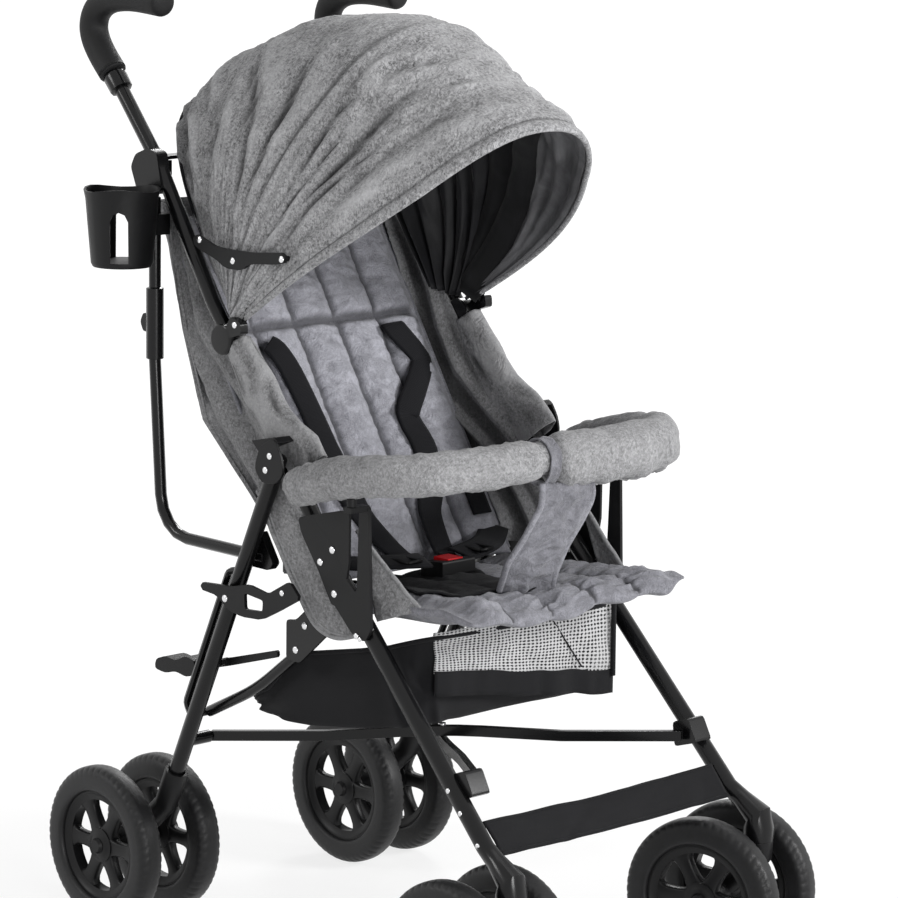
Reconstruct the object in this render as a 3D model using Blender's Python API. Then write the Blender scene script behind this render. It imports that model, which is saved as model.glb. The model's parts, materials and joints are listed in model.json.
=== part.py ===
"""Umbrella stroller with twin wheels, a folding frame, a canopy, a padded seat and a cup holder.

The stroller faces -Y and stands on z = 0. Sizes are in metres. The child's right side is at
negative X. The numbers here are measured from the frame's middle plane and from the rear axle;
place() moves them so that the origin lies under the middle of the whole stroller.
"""
import bpy
import bmesh
from math import atan2, ceil, cos, hypot, pi, radians, sin
from mathutils import Vector

# Main sizes
CLEAR = 0.0004
WHEEL_R = 0.0875
TYRE_W = 0.030
RIM_R = 0.0600
RIM_W = 0.020
TWIN_GAP = 0.0407
REAR_TRACK = 0.178
FRONT_TRACK = 0.181
FRONT_AXLE_Y = -0.554
CASTER_Y = -0.596
CASTER_TOP_Z = 0.149
AXLE_R = 0.004

FRONT_TUBE_R = 0.0095
REAR_TUBE_R = 0.0090
HANDLE_TUBE_R = 0.0080
LINK_TUBE_R = 0.0065
BRACE_TUBE_R = 0.0060
GRIP_R = 0.0155
HUB_R = 0.0165

SIDE_X = 0.168
REAR_TOP_X = 0.1885
LINK_X = 0.1705
BRACE_X = 0.157
RAIL_X = 0.1690

HUB = (-0.150, 0.659)
HINGE = (-0.250, 0.541)
KNEE = (-0.335, 0.4235)
LEG_LOW = (-0.5553, 0.200)
JOINT_TOP = (-0.030, 0.835)
BRACE_FRONT = (-0.256, 0.343)
BRACE_REAR = (-0.102, 0.246)
LINK_TOP = (-0.0275, 0.800)
LINK_LOW_Y = -0.0405
CANOPY_PIVOT = (-0.150, 0.668)
BACK_PIVOT = (-0.243, 0.412)
BAR_FRONT = (-0.515, 0.251)
BAR_REAR = (-0.095, 0.217)
BAR_END_X = 0.1504
SIDE_BRACE_PIVOT = (-0.180, 0.391)
LEVER_PIVOT = (-0.1420, 0.3110)
POST_Y = -0.378
POST_TOP_Z = 0.5180
BUMPER_X = 0.200
SIDE_PLATE_X = 0.1797
BUMPER_R = 0.0205

SIDES = (("right", -1), ("left", 1))
CASTER_TURN = {"right": 2.5, "left": 14.3}
ORIGIN_X = -0.0098
ORIGIN_Y = -0.2778

BLACK_PAINT = ((0.018, 0.018, 0.020, 1.0), 0.35, 0.25)
BLACK_PLASTIC = ((0.022, 0.022, 0.024, 1.0), 0.48, 0.0)
FOAM_BLACK = ((0.020, 0.020, 0.021, 1.0), 0.85, 0.0)
TYRE_BLACK = ((0.026, 0.026, 0.027, 1.0), 0.75, 0.0)
STEEL = ((0.62, 0.62, 0.63, 1.0), 0.30, 1.0)
MELANGE_GREY = ((0.265, 0.265, 0.275, 1.0), 0.92, 0.0)
SEAT_GREY = ((0.33, 0.33, 0.37, 1.0), 0.90, 0.0)
BAR_GREY = ((0.37, 0.37, 0.38, 1.0), 0.90, 0.0)
STRAP_BLACK = ((0.020, 0.020, 0.024, 1.0), 0.80, 0.0)
BUTTON_RED = ((0.60, 0.015, 0.020, 1.0), 0.40, 0.0)


def clear_scene():
    for old in list(bpy.data.objects):
        bpy.data.objects.remove(old, do_unlink=True)


def material(name, look):
    color, rough, metal = look
    mat = bpy.data.materials.new(name)
    mat.use_nodes = True
    shader = mat.node_tree.nodes["Principled BSDF"]
    shader.inputs["Base Color"].default_value = color
    shader.inputs["Roughness"].default_value = rough
    shader.inputs["Metallic"].default_value = metal
    mat.diffuse_color = color
    return mat


def place(point):
    return Vector(point) - Vector((ORIGIN_X, ORIGIN_Y, 0.0))


def turned(points, pivot, degrees):
    """Turns points about the vertical line through the pivot."""
    c = cos(radians(degrees))
    s = sin(radians(degrees))
    out = []
    for p in points:
        x = p[0] - pivot[0]
        y = p[1] - pivot[1]
        out.append(Vector((pivot[0] + x * c - y * s, pivot[1] + x * s + y * c, p[2])))
    return out


def add_object(name, verts, faces, look, origin=(0.0, 0.0, 0.0), smooth=40.0):
    """Makes one object with its own material and its origin at the given point."""
    mesh = bpy.data.meshes.new(name)
    local = [Vector(v) - Vector(origin) for v in verts]
    mesh.from_pydata(local, [], faces)
    mesh.validate()
    bm = bmesh.new()
    bm.from_mesh(mesh)
    bmesh.ops.recalc_face_normals(bm, faces=bm.faces)
    bm.to_mesh(mesh)
    bm.free()
    mesh.shade_smooth()
    mesh.set_sharp_from_angle(angle=radians(smooth))
    obj = bpy.data.objects.new(name, mesh)
    obj.location = place(origin)
    bpy.context.scene.collection.objects.link(obj)
    if look is not None:
        obj.data.materials.append(material(name, look))
    return obj


def add_helper(name, verts, faces):
    """Makes a solid that only shapes another object through a Boolean."""
    obj = add_object(name, verts, faces, None)
    obj.hide_render = True
    obj.display_type = "WIRE"
    return obj


def boolean(obj, helper, operation):
    mod = obj.modifiers.new(f"{operation.lower()}_{helper.name}", "BOOLEAN")
    mod.operation = operation
    mod.solver = "EXACT"
    mod.object = helper


def side_point(sign, x, point):
    return Vector((sign * x, point[0], point[1]))


def ring_faces(start, count, rings, first_cap=True, last_cap=True):
    """Faces of a skin over equal rings of points."""
    faces = []
    for i in range(rings - 1):
        a = start + i * count
        b = a + count
        for k in range(count):
            n = (k + 1) % count
            faces.append((a + k, a + n, b + n, b + k))
    if first_cap:
        faces.append(tuple(start + k for k in reversed(range(count))))
    if last_cap:
        last = start + (rings - 1) * count
        faces.append(tuple(last + k for k in range(count)))
    return faces


def rounded_path(points, bend, steps=5):
    """Replaces each inner corner of a path by an arc of the given bend radius."""
    pts = [Vector(p) for p in points]
    out = [pts[0]]
    for i in range(1, len(pts) - 1):
        before = (pts[i - 1] - pts[i])
        after = (pts[i + 1] - pts[i])
        u = before.normalized()
        v = after.normalized()
        angle = u.angle(v)
        if pi - angle < radians(3.0):
            out.append(pts[i])
            continue
        reach = min(bend / max(sin(angle / 2) / cos(angle / 2), 1e-6), before.length * 0.45, after.length * 0.45)
        radius = reach * sin(angle / 2) / cos(angle / 2)
        centre = pts[i] + (u + v).normalized() * hypot(reach, radius)
        start = pts[i] + u * reach - centre
        end = pts[i] + v * reach - centre
        turn = pi - angle
        for k in range(steps + 1):
            t = k / steps
            out.append(centre + (start * sin((1 - t) * turn) + end * sin(t * turn)) / sin(turn))
    out.append(pts[-1])
    return out


def sweep(path, radii, sides=14, flat=1.0, normal=None, round_ends=0.0):
    """Skin of a round bar along a path. flat scales it along the given normal."""
    pts = [Vector(p) for p in path]
    if not isinstance(radii, (list, tuple)):
        radii = [radii] * len(pts)
    radii = list(radii)
    if round_ends > 0:
        first = (pts[1] - pts[0]).normalized()
        last = (pts[-1] - pts[-2]).normalized()
        head = [(pts[0] + first * round_ends * (1 - c), radii[0] * s) for c, s in ((1.0, 0.45), (0.70, 0.80))]
        tail = [(pts[-1] - last * round_ends * (1 - c), radii[-1] * s) for c, s in ((0.70, 0.80), (1.0, 0.45))]
        pts = [p for p, r in head] + [pts[0] + first * round_ends] + pts[1:-1]
        radii = [r for p, r in head] + [radii[0]] + radii[1:-1] + [radii[-1]]
        pts = pts + [tail[0][0] - last * round_ends * 0.7] + [p for p, r in tail]
        radii = radii + [r for p, r in tail]
    tangents = []
    for i, p in enumerate(pts):
        a = pts[max(i - 1, 0)]
        b = pts[min(i + 1, len(pts) - 1)]
        tangents.append((b - a).normalized())
    side = Vector(normal) if normal is not None else Vector((1.0, 0.0, 0.0))
    if abs(side.dot(tangents[0])) > 0.95:
        side = Vector((0.0, 0.0, 1.0))
    verts = []
    for p, t, r in zip(pts, tangents, radii):
        side = (side - t * side.dot(t)).normalized()
        up = t.cross(side)
        for k in range(sides):
            a = 2 * pi * k / sides
            verts.append(p + side * (r * flat * cos(a)) + up * (r * sin(a)))
    return verts, ring_faces(0, sides, len(pts))


def lathe_x(profile, centre, segments):
    """Closed ring or solid turned about an axis along X. The profile is a list of (x, r)."""
    verts = []
    faces = []
    cx, cy, cz = centre
    count = len(profile)
    solid = profile[0][1] <= 0
    rows = profile[1:-1] if solid else profile
    rows_count = len(rows)
    for k in range(segments):
        a = 2 * pi * k / segments
        for x, r in rows:
            verts.append(Vector((cx + x, cy + r * cos(a), cz + r * sin(a))))
    for k in range(segments):
        n = (k + 1) % segments
        for i in range(rows_count - 1):
            faces.append((k * rows_count + i, k * rows_count + i + 1, n * rows_count + i + 1, n * rows_count + i))
        if not solid:
            faces.append((k * rows_count + rows_count - 1, k * rows_count, n * rows_count, n * rows_count + rows_count - 1))
    if solid:
        faces.append(tuple(k * rows_count for k in range(segments)))
        faces.append(tuple(k * rows_count + rows_count - 1 for k in reversed(range(segments))))
    assert count >= 3
    return verts, faces


def prism_x(outline, x0, x1):
    """Plate with an outline of (y, z) points between two planes across X."""
    count = len(outline)
    verts = [Vector((x0, y, z)) for y, z in outline] + [Vector((x1, y, z)) for y, z in outline]
    faces = [tuple(reversed(range(count))), tuple(range(count, 2 * count))]
    for k in range(count):
        n = (k + 1) % count
        faces.append((k, n, count + n, count + k))
    return verts, faces


def round_outline(points, radius, steps=3):
    """Rounds the corners of a closed outline of 2D points."""
    out = []
    count = len(points)
    for i in range(count):
        p = Vector(points[i])
        a = Vector(points[i - 1]) - p
        b = Vector(points[(i + 1) % count]) - p
        cut = min(radius, a.length * 0.4, b.length * 0.4)
        start = p + a.normalized() * cut
        end = p + b.normalized() * cut
        for k in range(steps + 1):
            t = k / steps
            q = start * (1 - t) ** 2 + p * 2 * t * (1 - t) + end * t ** 2
            out.append((q.x, q.y))
    return out


def box(x0, x1, y0, y1, z0, z1):
    verts = [Vector((x, y, z)) for x in (x0, x1) for y in (y0, y1) for z in (z0, z1)]
    faces = [(0, 1, 3, 2), (4, 6, 7, 5), (0, 4, 5, 1), (2, 3, 7, 6), (0, 2, 6, 4), (1, 5, 7, 3)]
    return verts, faces


def shell(grid, offsets, wrap=False):
    """Closed solid between a grid of points and the same grid moved by its offsets."""
    rows = len(grid)
    cols = len(grid[0])
    verts = [grid[i][j] for i in range(rows) for j in range(cols)]
    verts += [grid[i][j] + offsets[i][j] for i in range(rows) for j in range(cols)]
    base = rows * cols
    faces = []

    def at(i, j):
        return i * cols + j

    last = cols if wrap else cols - 1
    for i in range(rows - 1):
        for j in range(last):
            n = (j + 1) % cols
            quad = (at(i, j), at(i, n), at(i + 1, n), at(i + 1, j))
            faces.append(quad)
            faces.append(tuple(base + q for q in reversed(quad)))
    for j in range(last):
        n = (j + 1) % cols
        faces.append((at(0, n), at(0, j), base + at(0, j), base + at(0, n)))
        faces.append((at(rows - 1, j), at(rows - 1, n), base + at(rows - 1, n), base + at(rows - 1, j)))
    if not wrap:
        for i in range(rows - 1):
            faces.append((at(i, 0), at(i + 1, 0), base + at(i + 1, 0), base + at(i, 0)))
            faces.append((at(i + 1, cols - 1), at(i, cols - 1), base + at(i, cols - 1), base + at(i + 1, cols - 1)))
    return verts, faces


def grid_normals(grid):
    """Unit normal at each point of a grid, from its neighbours."""
    rows = len(grid)
    cols = len(grid[0])
    out = []
    for i in range(rows):
        row = []
        for j in range(cols):
            du = grid[min(i + 1, rows - 1)][j] - grid[max(i - 1, 0)][j]
            dv = grid[i][min(j + 1, cols - 1)] - grid[i][max(j - 1, 0)]
            row.append(du.cross(dv).normalized())
        out.append(row)
    return out


def smooth_step(t):
    t = min(max(t, 0.0), 1.0)
    return t * t * (3 - 2 * t)


def lerp(a, b, t):
    return a + (b - a) * t


# Wheels

SPOKES = 6
RIM_STEPS = 4
TYRE_STEPS = 24


def rim_mesh(centre):
    """Six-spoke wheel disc: hub, spokes with a window between each two, and outer ring."""
    half = RIM_W / 2
    radii = (0.0045, 0.0190, 0.0360, 0.0530, RIM_R)
    halves = (half, half * 0.75, half * 0.55, half * 0.62, half)
    spoke_half = (0.0, 0.0062, 0.0062, 0.0085, 0.0)
    columns = []
    for s in range(SPOKES):
        centre_a = 2 * pi * s / SPOKES
        pitch = 2 * pi / SPOKES
        for c in range(RIM_STEPS):
            columns.append((centre_a, pitch, c))
    cols = len(columns)
    cx, cy, cz = centre
    verts = []
    for side in (-1, 1):
        for ring, r in enumerate(radii):
            width = spoke_half[ring] / r if spoke_half[ring] else pitch * 0.14
            for centre_a, pitch, c in columns:
                marks = (-width, width, width + (pitch - 2 * width) / 3, width + 2 * (pitch - 2 * width) / 3)
                a = centre_a + marks[c]
                verts.append(Vector((cx + side * halves[ring], cy + r * cos(a), cz + r * sin(a))))
    rings = len(radii)

    def at(side, ring, col):
        return side * rings * cols + ring * cols + col % cols

    def solid(ring, col):
        if ring < 0 or ring >= rings - 1:
            return False
        return ring in (0, rings - 2) or col % RIM_STEPS == 0

    faces = []
    for ring in range(rings - 1):
        for col in range(cols):
            if not solid(ring, col):
                continue
            for side in (0, 1):
                quad = (at(side, ring, col), at(side, ring, col + 1), at(side, ring + 1, col + 1), at(side, ring + 1, col))
                faces.append(quad if side else tuple(reversed(quad)))
            if not solid(ring - 1, col):
                faces.append((at(0, ring, col), at(0, ring, col + 1), at(1, ring, col + 1), at(1, ring, col)))
            if not solid(ring + 1, col):
                faces.append((at(0, ring + 1, col + 1), at(0, ring + 1, col), at(1, ring + 1, col), at(1, ring + 1, col + 1)))
            if not solid(ring, (col - 1) % cols):
                faces.append((at(0, ring, col), at(1, ring, col), at(1, ring + 1, col), at(0, ring + 1, col)))
            if not solid(ring, (col + 1) % cols):
                faces.append((at(0, ring, col + 1), at(0, ring + 1, col + 1), at(1, ring + 1, col + 1), at(1, ring, col + 1)))
    return verts, faces


def tyre_mesh(centre):
    half = TYRE_W / 2
    inner = (RIM_R + CLEAR) / cos(pi / TYRE_STEPS)
    profile = [
        (-half * 0.72, inner), (-half, inner + 0.008), (-half * 0.82, WHEEL_R - 0.0050), (-half * 0.36, WHEEL_R),
        (half * 0.36, WHEEL_R), (half * 0.82, WHEEL_R - 0.0050), (half, inner + 0.008), (half * 0.72, inner),
    ]
    return lathe_x(profile, centre, TYRE_STEPS)


def caster_pivot(sign):
    return Vector((sign * FRONT_TRACK, CASTER_Y, CASTER_TOP_Z))


def build_wheels():
    for end, y, track in (("rear", 0.0, REAR_TRACK), ("front", FRONT_AXLE_Y, FRONT_TRACK)):
        for side, sign in SIDES:
            for place, step in (("outer", 1), ("inner", -1)):
                centre = (sign * (track + step * TWIN_GAP), y, WHEEL_R)
                tag = f"{end}_{side}_{place}"
                pivot = caster_pivot(sign)
                turn = CASTER_TURN[side] if end == "front" else 0.0
                origin = turned([centre], pivot, turn)[0]
                verts, faces = rim_mesh(centre)
                add_object(f"rim_{tag}", turned(verts, pivot, turn), faces, BLACK_PLASTIC, origin, 35)
                verts, faces = tyre_mesh(centre)
                add_object(f"tyre_{tag}", turned(verts, pivot, turn), faces, TYRE_BLACK, origin, 60)


def axle_profile(hub_r, hub_half):
    """Axle with end caps outside the wheels and a housing between them."""
    rim_in = TWIN_GAP - RIM_W / 2
    rim_out = TWIN_GAP + RIM_W / 2
    cap = rim_out + CLEAR
    half = [
        (0.0, hub_r), (hub_half - 0.002, hub_r), (hub_half, hub_r - 0.002), (rim_in - CLEAR, 0.0075),
        (rim_in - CLEAR, AXLE_R), (cap, AXLE_R), (cap, 0.0090), (cap + 0.0035, 0.0070), (cap + 0.0035, 0.0),
    ]
    mirrored = [(-x, r) for x, r in reversed(half[1:])]
    return mirrored + half[1:]


def build_rear_axle(side, sign):
    """Rear housing: the axle, an arm up to the leg and the socket under the leg."""
    centre = (sign * REAR_TRACK, 0.0, WHEEL_R)
    verts, faces = lathe_x(axle_profile(0.0165, 0.0200), centre, 12)
    obj = add_object(f"rear_axle_{side}", verts, faces, BLACK_PLASTIC, centre, 35)
    low = leg_point(sign, 1.0)
    top = leg_point(sign, 1.0 - 0.045 / leg_length())
    path = [Vector(centre) + Vector((0, -0.004, 0.006)), Vector(centre).lerp(low, 0.6), low, top]
    sweep_verts, sweep_faces = sweep(path, [0.0130, 0.0125, 0.0130, 0.0130], 10)
    arm = add_helper(f"arm_shape_{side}", sweep_verts, sweep_faces)
    boolean(obj, arm, "UNION")
    bore_verts, bore_faces = sweep([low.lerp(top, 0.25), top + (top - low) * 0.4], REAR_TUBE_R + 2 * CLEAR, 12)
    bore = add_helper(f"leg_bore_{side}", bore_verts, bore_faces)
    boolean(obj, bore, "DIFFERENCE")
    return obj


REAR_LEG_END = (-0.0576, 0.140)
REAR_LEG_END_X = 0.179


def leg_point(sign, t):
    """Point on the rear leg's axis, from the hinge at 0 to the lower end at 1."""
    top = side_point(sign, REAR_TOP_X, HINGE)
    low = side_point(sign, REAR_LEG_END_X, REAR_LEG_END)
    return top.lerp(low, t)


def leg_length():
    return (leg_point(1, 1.0) - leg_point(1, 0.0)).length


def build_rear_leg(side, sign):
    """Rear leg tube with a thin slide rod along its back."""
    seat = 0.25 * 0.045 / leg_length()
    path = [leg_point(sign, -0.012 / leg_length()), leg_point(sign, 1.0 - seat - CLEAR / leg_length())]
    verts, faces = sweep(path, REAR_TUBE_R, 12, round_ends=0.004)
    obj = add_object(f"rear_leg_{side}", verts, faces, BLACK_PAINT, leg_point(sign, 0.0))
    out = Vector((0.0, 0.9, 0.43)).normalized() * 0.0175
    rod_path = [leg_point(sign, 0.30), leg_point(sign, 0.33) + out, leg_point(sign, 0.72) + out, leg_point(sign, 0.745)]
    rod_verts, rod_faces = sweep(rounded_path(rod_path, 0.008, 2), 0.0042, 8)
    rod = add_helper(f"rod_shape_{side}", rod_verts, rod_faces)
    boolean(obj, rod, "UNION")
    carrier = [(0.0, 0.0), (0.0, 0.0070), (sign * 0.028, 0.0070), (sign * 0.028, 0.0)]
    carrier_verts, carrier_faces = lathe_x(carrier, side_point(sign, BAR_END_X, BAR_REAR), 12)
    boolean(obj, add_helper(f"carrier_shape_{side}", carrier_verts, carrier_faces), "UNION")
    return obj


def build_front_leg(side, sign):
    """Front tube from the hub down to the caster socket, with the seat rail and the bar block."""
    hub = side_point(sign, SIDE_X, HUB)
    knee = side_point(sign, SIDE_X, KNEE)
    low = side_point(sign, 0.1775, LEG_LOW)
    socket = Vector((sign * FRONT_TRACK, CASTER_Y, CASTER_TOP_Z + CLEAR))
    start = hub + (knee - hub).normalized() * (HUB_R + CLEAR)
    neck = Vector((socket.x, socket.y + 0.001, socket.z + 0.026))
    near_low = low.lerp(neck, 0.45)
    path = [start, knee, low, near_low, neck, socket + Vector((0, 0, 0.014)), socket]
    radii = [FRONT_TUBE_R, FRONT_TUBE_R, FRONT_TUBE_R, FRONT_TUBE_R + 0.001, 0.0150, 0.0165, 0.0165]
    verts, faces = sweep(path, radii, 12)
    obj = add_object(f"front_leg_{side}", verts, faces, BLACK_PAINT, socket)
    rail = [(-0.247, 0.334), (-0.268, 0.333), (-0.345, 0.400), (-0.350, 0.422), (-0.322, 0.428), (-0.262, 0.378),
            (-0.247, 0.376)]
    rail_verts, rail_faces = prism_x(round_outline(rail, 0.004, 2), sign * RAIL_X, sign * (RAIL_X + 0.003))
    boolean(obj, add_helper(f"rail_shape_{side}", rail_verts, rail_faces), "UNION")
    block = [(-0.502, 0.236), (-0.498, 0.262), (-0.520, 0.270), (-0.533, 0.246)]
    block_verts, block_faces = prism_x(round_outline(block, 0.004, 2), sign * BAR_END_X, sign * 0.174)
    boolean(obj, add_helper(f"block_shape_{side}", block_verts, block_faces), "UNION")
    return obj


def build_front_fork(side, sign):
    """Swivel fork: the stem, the arm and the front axle."""
    centre = (sign * FRONT_TRACK, FRONT_AXLE_Y, WHEEL_R)
    pivot = caster_pivot(sign)
    turn = CASTER_TURN[side]
    verts, faces = lathe_x(axle_profile(0.0150, 0.0190), centre, 12)
    obj = add_object(f"front_fork_{side}", turned(verts, pivot, turn), faces, BLACK_PLASTIC, pivot, 35)
    axle = Vector(centre)
    path = [pivot, pivot - Vector((0, 0, 0.014)), axle + Vector((0, -0.031, 0.032)), axle + Vector((0, -0.003, 0.004))]
    arm_verts, arm_faces = sweep(path, [0.0160, 0.0160, 0.0150, 0.0125], 10)
    arm_verts = turned(arm_verts, pivot, turn)
    boolean(obj, add_helper(f"fork_shape_{side}", arm_verts, arm_faces), "UNION")
    return obj


def build_hinge_bracket(side, sign):
    """Plate over the rear leg's top, with a lip that meets the front tube."""
    outer = REAR_TOP_X + REAR_TUBE_R + CLEAR
    outline = [(-0.236, 0.560), (-0.258, 0.572), (-0.270, 0.554), (-0.274, 0.536), (-0.262, 0.524), (-0.240, 0.522),
               (-0.228, 0.536)]
    verts, faces = prism_x(round_outline(outline, 0.006, 2), sign * outer, sign * (outer + 0.003))
    obj = add_object(f"hinge_bracket_{side}", verts, faces, BLACK_PLASTIC, side_point(sign, outer, HINGE), 30)
    lip = [(-0.2215, 0.5640), (-0.2570, 0.5715), (-0.2640, 0.5670), (-0.2320, 0.5540)]
    inner = SIDE_X + FRONT_TUBE_R + CLEAR / 2
    lip_verts, lip_faces = prism_x(lip, sign * inner, sign * (outer + 0.001))
    boolean(obj, add_helper(f"lip_shape_{side}", lip_verts, lip_faces), "UNION")
    return obj


def build_side_bracket(side, sign):
    """Plate outside the front tube with the post that carries the bumper."""
    post = POST_Y
    outline = [(-0.277, 0.490), (-0.300, 0.494), (-0.332, 0.470), (-0.350, 0.440), (post + 0.010, 0.425),
               (post + 0.007, POST_TOP_Z), (post - 0.007, POST_TOP_Z), (post - 0.012, 0.390), (-0.381, 0.377),
               (-0.362, 0.382), (-0.335, 0.407), (-0.305, 0.445), (-0.283, 0.474)]
    verts, faces = prism_x(round_outline(outline, 0.003, 1), sign * SIDE_PLATE_X, sign * (SIDE_PLATE_X + 0.004))
    pivot = side_point(sign, SIDE_PLATE_X, KNEE)
    obj = add_object(f"side_bracket_{side}", verts, faces, BLACK_PLASTIC, pivot, 30)
    shelf = box(*sorted((sign * (SIDE_PLATE_X + 0.001), sign * (BUMPER_X + 0.006))), post - 0.006, post + 0.006,
                POST_TOP_Z - 0.006, POST_TOP_Z)
    boolean(obj, add_helper(f"post_shelf_{side}", *shelf), "UNION")
    seat = Vector((sign * BUMPER_X, post, POST_TOP_Z))
    stud = sweep([seat - Vector((0, 0, 0.003)), seat + Vector((0, 0, 0.0088))], 0.0052, 10)
    boolean(obj, add_helper(f"post_stud_{side}", *stud), "UNION")
    return obj


def upper_brace_low(sign):
    """Underside of an upper brace half: the right half lies on the left one."""
    return 0.8300 if sign > 0 else 0.8343


def build_handle_tube(side, sign):
    """Handle tube with the hub disc at its lower end, the junction block and the collar."""
    hub = side_point(sign, SIDE_X, HUB)
    bend = side_point(sign, SIDE_X, (-0.122, 0.694))
    joint = side_point(sign, SIDE_X, JOINT_TOP)
    collar = side_point(sign, SIDE_X, (0.0455, 0.9230))
    up = (collar - joint).normalized()
    ring = collar - up * 0.020
    path = [hub, bend, joint, ring - up * 0.001, ring, collar - up * 0.004, collar]
    radii = [HANDLE_TUBE_R] * 4 + [0.0125, 0.0130, 0.0115]
    verts, faces = sweep(path, radii, 10)
    obj = add_object(f"handle_tube_{side}", verts, faces, BLACK_PAINT, hub)
    disc_profile = [(-0.0105, 0.0), (-0.0105, HUB_R - 0.0025), (-0.0085, HUB_R), (0.0125, HUB_R), (0.0145, HUB_R - 0.0025),
                    (0.0145, 0.0)]
    disc_profile = [(sign * x, r) for x, r in disc_profile]
    disc_verts, disc_faces = lathe_x(disc_profile, hub, 16)
    boolean(obj, add_helper(f"disc_shape_{side}", disc_verts, disc_faces), "UNION")
    block = [(-0.040, 0.845), (-0.026, 0.850), (-0.004, 0.842), (0.004, 0.828), (-0.008, LINK_TOP[1] + CLEAR),
             (-0.034, LINK_TOP[1] + CLEAR), (-0.048, 0.808)]
    block_verts, block_faces = prism_x(round_outline(block, 0.004, 2), sign * 0.1635, sign * 0.1785)
    boolean(obj, add_helper(f"joint_shape_{side}", block_verts, block_faces), "UNION")
    shelf = box(*sorted((sign * 0.138, sign * 0.165)), -0.016, 0.006, 0.818, upper_brace_low(sign) - CLEAR)
    boolean(obj, add_helper(f"shelf_shape_{side}", *shelf), "UNION")
    lug = [(-0.158, 0.672), (-0.166, 0.685), (-0.182, 0.680), (-0.183, 0.668), (-0.164, 0.662)]
    lug_verts, lug_faces = prism_x(round_outline(lug, 0.003, 2), sign * 0.1714, sign * 0.1815)
    boolean(obj, add_helper(f"lug_shape_{side}", lug_verts, lug_faces), "UNION")
    return obj


def build_grip(side, sign):
    """Foam hook grip, bent forward over the top."""
    spine = [(0.0462, 0.9238), (0.0650, 0.9425), (0.0770, 0.9590), (0.0805, 0.9740), (0.0745, 0.9890), (0.0590, 1.0000),
             (0.0370, 1.0055), (0.0050, 1.0065), (-0.0400, 1.0030)]
    path = [side_point(sign, SIDE_X, p) for p in spine]
    verts, faces = sweep(path, GRIP_R, 12, round_ends=0.005)
    return add_object(f"grip_{side}", verts, faces, FOAM_BLACK, path[0], 60)


def build_rear_tube(side, sign):
    """Rear link: an upright tube with its sleeve, bent forward at the bottom to a gusset."""
    top = side_point(sign, LINK_X, LINK_TOP)
    low_z = 0.4355
    corner = side_point(sign, LINK_X, (LINK_LOW_Y, low_z))
    end = side_point(sign, LINK_X, (-0.212, low_z))
    bend = rounded_path([side_point(sign, LINK_X, (LINK_TOP[0], 0.6230)), corner, end], 0.045, 4)
    path = [top - Vector((0, 0, 0.0001)), top - Vector((0, 0, 0.0030))]
    radii = [0.0022, LINK_TUBE_R]
    for z, r in ((0.7010, LINK_TUBE_R), (0.7000, 0.0095), (0.6240, 0.0095), (0.6230, LINK_TUBE_R)):
        path.append(side_point(sign, LINK_X, (LINK_TOP[0], z)))
        radii.append(r)
    path += bend[1:]
    radii += [LINK_TUBE_R] * (len(bend) - 1)
    verts, faces = sweep(path, radii, 10)
    obj = add_object(f"rear_tube_{side}", verts, faces, BLACK_PAINT, top)
    gusset = [(-0.208, 0.464), (-0.229, 0.432), (-0.222, 0.424), (-0.186, 0.424)]
    gusset_verts, gusset_faces = prism_x(round_outline(gusset, 0.003, 2), sign * 0.1655, sign * 0.1755)
    boolean(obj, add_helper(f"gusset_shape_{side}", gusset_verts, gusset_faces), "UNION")
    lug = [(-0.028, 0.652), (-0.028, 0.672), (-0.012, 0.672), (-0.007, 0.662), (-0.012, 0.652)]
    lug_verts, lug_faces = prism_x(round_outline(lug, 0.003, 2), sign * 0.1665, sign * 0.1745)
    boolean(obj, add_helper(f"catch_shape_{side}", lug_verts, lug_faces), "UNION")
    return obj


def build_lower_brace(side, sign):
    front = side_point(sign, BRACE_X, BRACE_FRONT)
    rear = side_point(sign, BRACE_X, BRACE_REAR)
    mid = front.lerp(rear, 0.5) + Vector((0, -0.003, -0.008))
    verts, faces = sweep(rounded_path([front, mid, rear], 0.3, 4), BRACE_TUBE_R, 10, round_ends=0.003)
    obj = add_object(f"lower_brace_{side}", verts, faces, BLACK_PAINT, rear)
    for tag, point, reach in (("rail", front.lerp(rear, 0.05), RAIL_X - CLEAR), ("leg", rear, 0.1725)):
        long = sign * (reach - BRACE_X)
        pin_verts, pin_faces = lathe_x([(0.0, 0.0), (0.0, 0.0035), (long, 0.0035), (long, 0.0)], point, 10)
        boolean(obj, add_helper(f"{tag}_pin_shape_{side}", pin_verts, pin_faces), "UNION")
    return obj


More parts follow.
